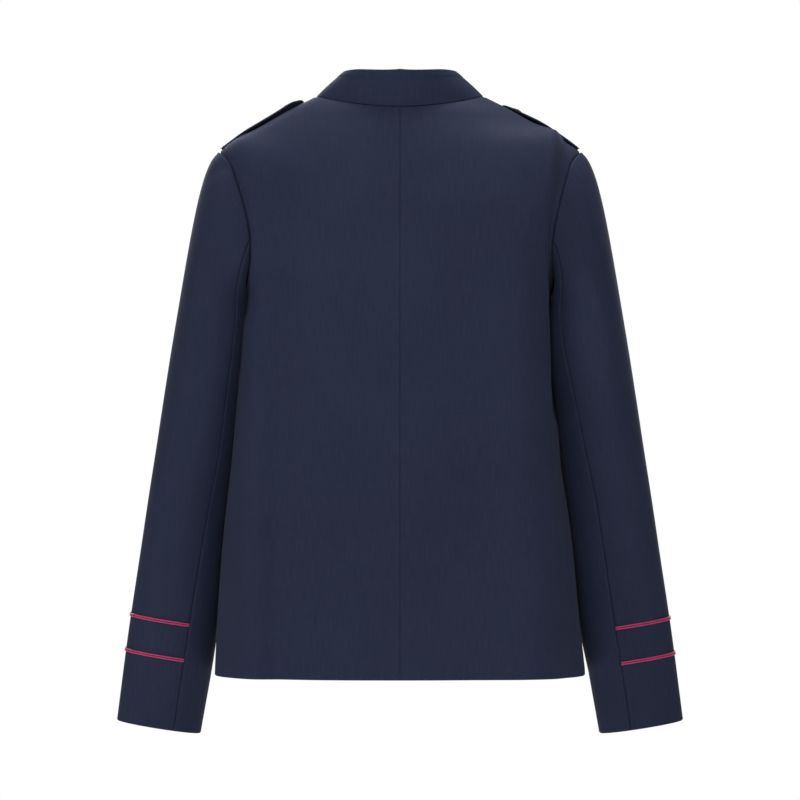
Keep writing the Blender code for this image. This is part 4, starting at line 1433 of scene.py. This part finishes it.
def dressed(piece, finish, slot, *nodes):
    """Gives a piece its material if it has none, and lets it ride in place of its solids. The slot
    is not used.
    """
    if not piece.data.materials:
        piece.data.materials.append(finish)
    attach(piece, "root")
    if nodes:
        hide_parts(*nodes)
    return piece


def braids(side):
    made = []
    for braid in BRAIDS:
        node = f"braid_{braid.place}_{side}"
        paths = braid_paths(getattr(braid, side), side)
        cord = along_paths(node + "_cords", cords, paths, {}, crimson)
        made.append(dressed(cord, crimson, "crimson_braid", node))
    return made


def cloth(piece, node, *trims):
    """Dresses a cloth piece in the navy gabardine, in place of its solids. The trims sewn on it are
    not used.
    """
    dressed(piece, navy, "navy_gabardine", node)


for side in SIDES:
    holes = []
    if side == "right":
        holes = [dressed(front_buttonholes(), thread, "navy_gabardine")]
    sewing = [strap_stitching(side), strap_buttonhole(side)]
    for piece in sewing:
        dressed(piece, thread, "navy_gabardine")
    cloth(body_panel(side, "back"), f"back_{side}")
    cloth(body_panel(side, "front"), f"front_{side}", *holes)
    cloth(sleeve_piece("upper", side), f"sleeve_upper_{side}", *braids(side))
    cloth(sleeve_piece("under", side), f"sleeve_under_{side}")
    cloth(strap_piece(side), f"epaulette_{side}", *sewing)
cloth(collar_piece(), "collar")

for k in range(FRONT_BUTTONS):
    spot = on_form(0.0, FRONT_BUTTON_TOP - k * FRONT_BUTTON_PITCH, "front")
    out = form_normal(spot, "front")
    node = f"front_button_{k + 1}"
    made = button(
        node + "_brass", spot + out * LAP_LIFT, out, FRONT_BUTTON_RADIUS, FRONT_BUTTON_HEIGHT, brass
    )
    dressed(made, brass, "brass_buttons", node)
for side in SIDES:
    out = strap_normal(0.0, STRAP_BUTTON_PLACE, side)
    seat = strap_under(0.0, STRAP_BUTTON_PLACE, side) + out * (STRAP_WALL + RESTING_GAP)
    if side == "right":
        seat, out = mirrored(seat), mirrored(out)
    node = f"epaulette_button_{side}"
    made = button(node + "_brass", seat, out, STRAP_BUTTON_RADIUS, STRAP_BUTTON_HEIGHT, brass)
    dressed(made, brass, "brass_buttons", node)

# Camera, light and floor. The floor and the world look pale to the camera alone, so that
# they cast little light on the jacket and the lamps model its cloth.

CAMERA_DISTANCE = 4.5
CAMERA_HEIGHT = -0.319
METRES_PER_PIXEL = 0.00105
FRAME_PIXELS = 800
SENSOR_WIDTH = 36
FLOOR_HEIGHT = -1.40
FLOOR_RADIUS = 6.0
FLOOR_GLOW = 0.6
WORLD_LIGHT = 0.07

camera_data = bpy.data.cameras.new("camera")
camera = bpy.data.objects.new("camera", camera_data)
bpy.context.scene.collection.objects.link(camera)
camera.location = (0, CAMERA_DISTANCE, CAMERA_HEIGHT)
camera.rotation_euler = (math.pi / 2, 0, math.pi)
camera_data.sensor_width = SENSOR_WIDTH
camera_data.lens = CAMERA_DISTANCE / (METRES_PER_PIXEL * FRAME_PIXELS) * SENSOR_WIDTH
bpy.context.scene.camera = camera

floor_material, floor_tree, floor_shader = new_material("pale_studio_floor")
floor_shader.inputs["Base Color"].default_value = linear("f2f2f2")
floor_shader.inputs["Roughness"].default_value = 0.9
floor_shader.inputs["Emission Color"].default_value = (1, 1, 1, 1)
floor_seen = add_node(floor_tree, "ShaderNodeLightPath")
floor_glow = add_node(
    floor_tree,
    "ShaderNodeMapRange",
    inputs={"Value": floor_seen.outputs["Is Camera Ray"], "To Min": 0.0, "To Max": FLOOR_GLOW},
)
floor_tree.links.new(floor_glow.outputs["Result"], floor_shader.inputs["Emission Strength"])
bpy.ops.mesh.primitive_circle_add(
    vertices=96, radius=FLOOR_RADIUS, fill_type="NGON", location=(0, 0, FLOOR_HEIGHT)
)
floor = bpy.context.object
floor.name = "floor"
floor.data.materials.append(floor_material)

world = bpy.data.worlds.new("studio")
world.use_nodes = True
bpy.context.scene.world = world
background = world.node_tree.nodes["Background"]
background.inputs["Color"].default_value = (1, 1, 1, 1)
seen = add_node(world.node_tree, "ShaderNodeLightPath")
brightness = add_node(
    world.node_tree,
    "ShaderNodeMapRange",
    inputs={"Value": seen.outputs["Is Camera Ray"], "To Min": WORLD_LIGHT, "To Max": 1.0},
)
world.node_tree.links.new(brightness.outputs["Result"], background.inputs["Strength"])

Lamp = namedtuple("Lamp", "name place size power")
LAMPS = [
    Lamp("key", (0.1, 2.6, 1.3), 1.2, 23),
    Lamp("left_side", (2.7, 1.7, 0.3), 1.2, 19),
    Lamp("right_side", (-2.6, 1.6, 1.3), 1.2, 12),
    Lamp("top", (-0.2, -0.6, 2.3), 1.2, 42),
    Lamp("front", (0.9, -3.2, 1.2), 2.2, 46),
    Lamp("front_low", (-0.9, -3.0, 0.0), 1.6, 13),
]
for lamp in LAMPS:
    data = bpy.data.lights.new(lamp.name, "AREA")
    data.shape = "DISK"
    data.size = lamp.size
    data.energy = lamp.power
    made = bpy.data.objects.new(lamp.name, data)
    made.location = lamp.place
    aim = Vector((0, 0, CAMERA_HEIGHT)) - Vector(lamp.place)
    made.rotation_euler = aim.to_track_quat("-Z", "Y").to_euler()
    bpy.context.scene.collection.objects.link(made)
bpy.context.scene.view_settings.view_transform = "Standard"
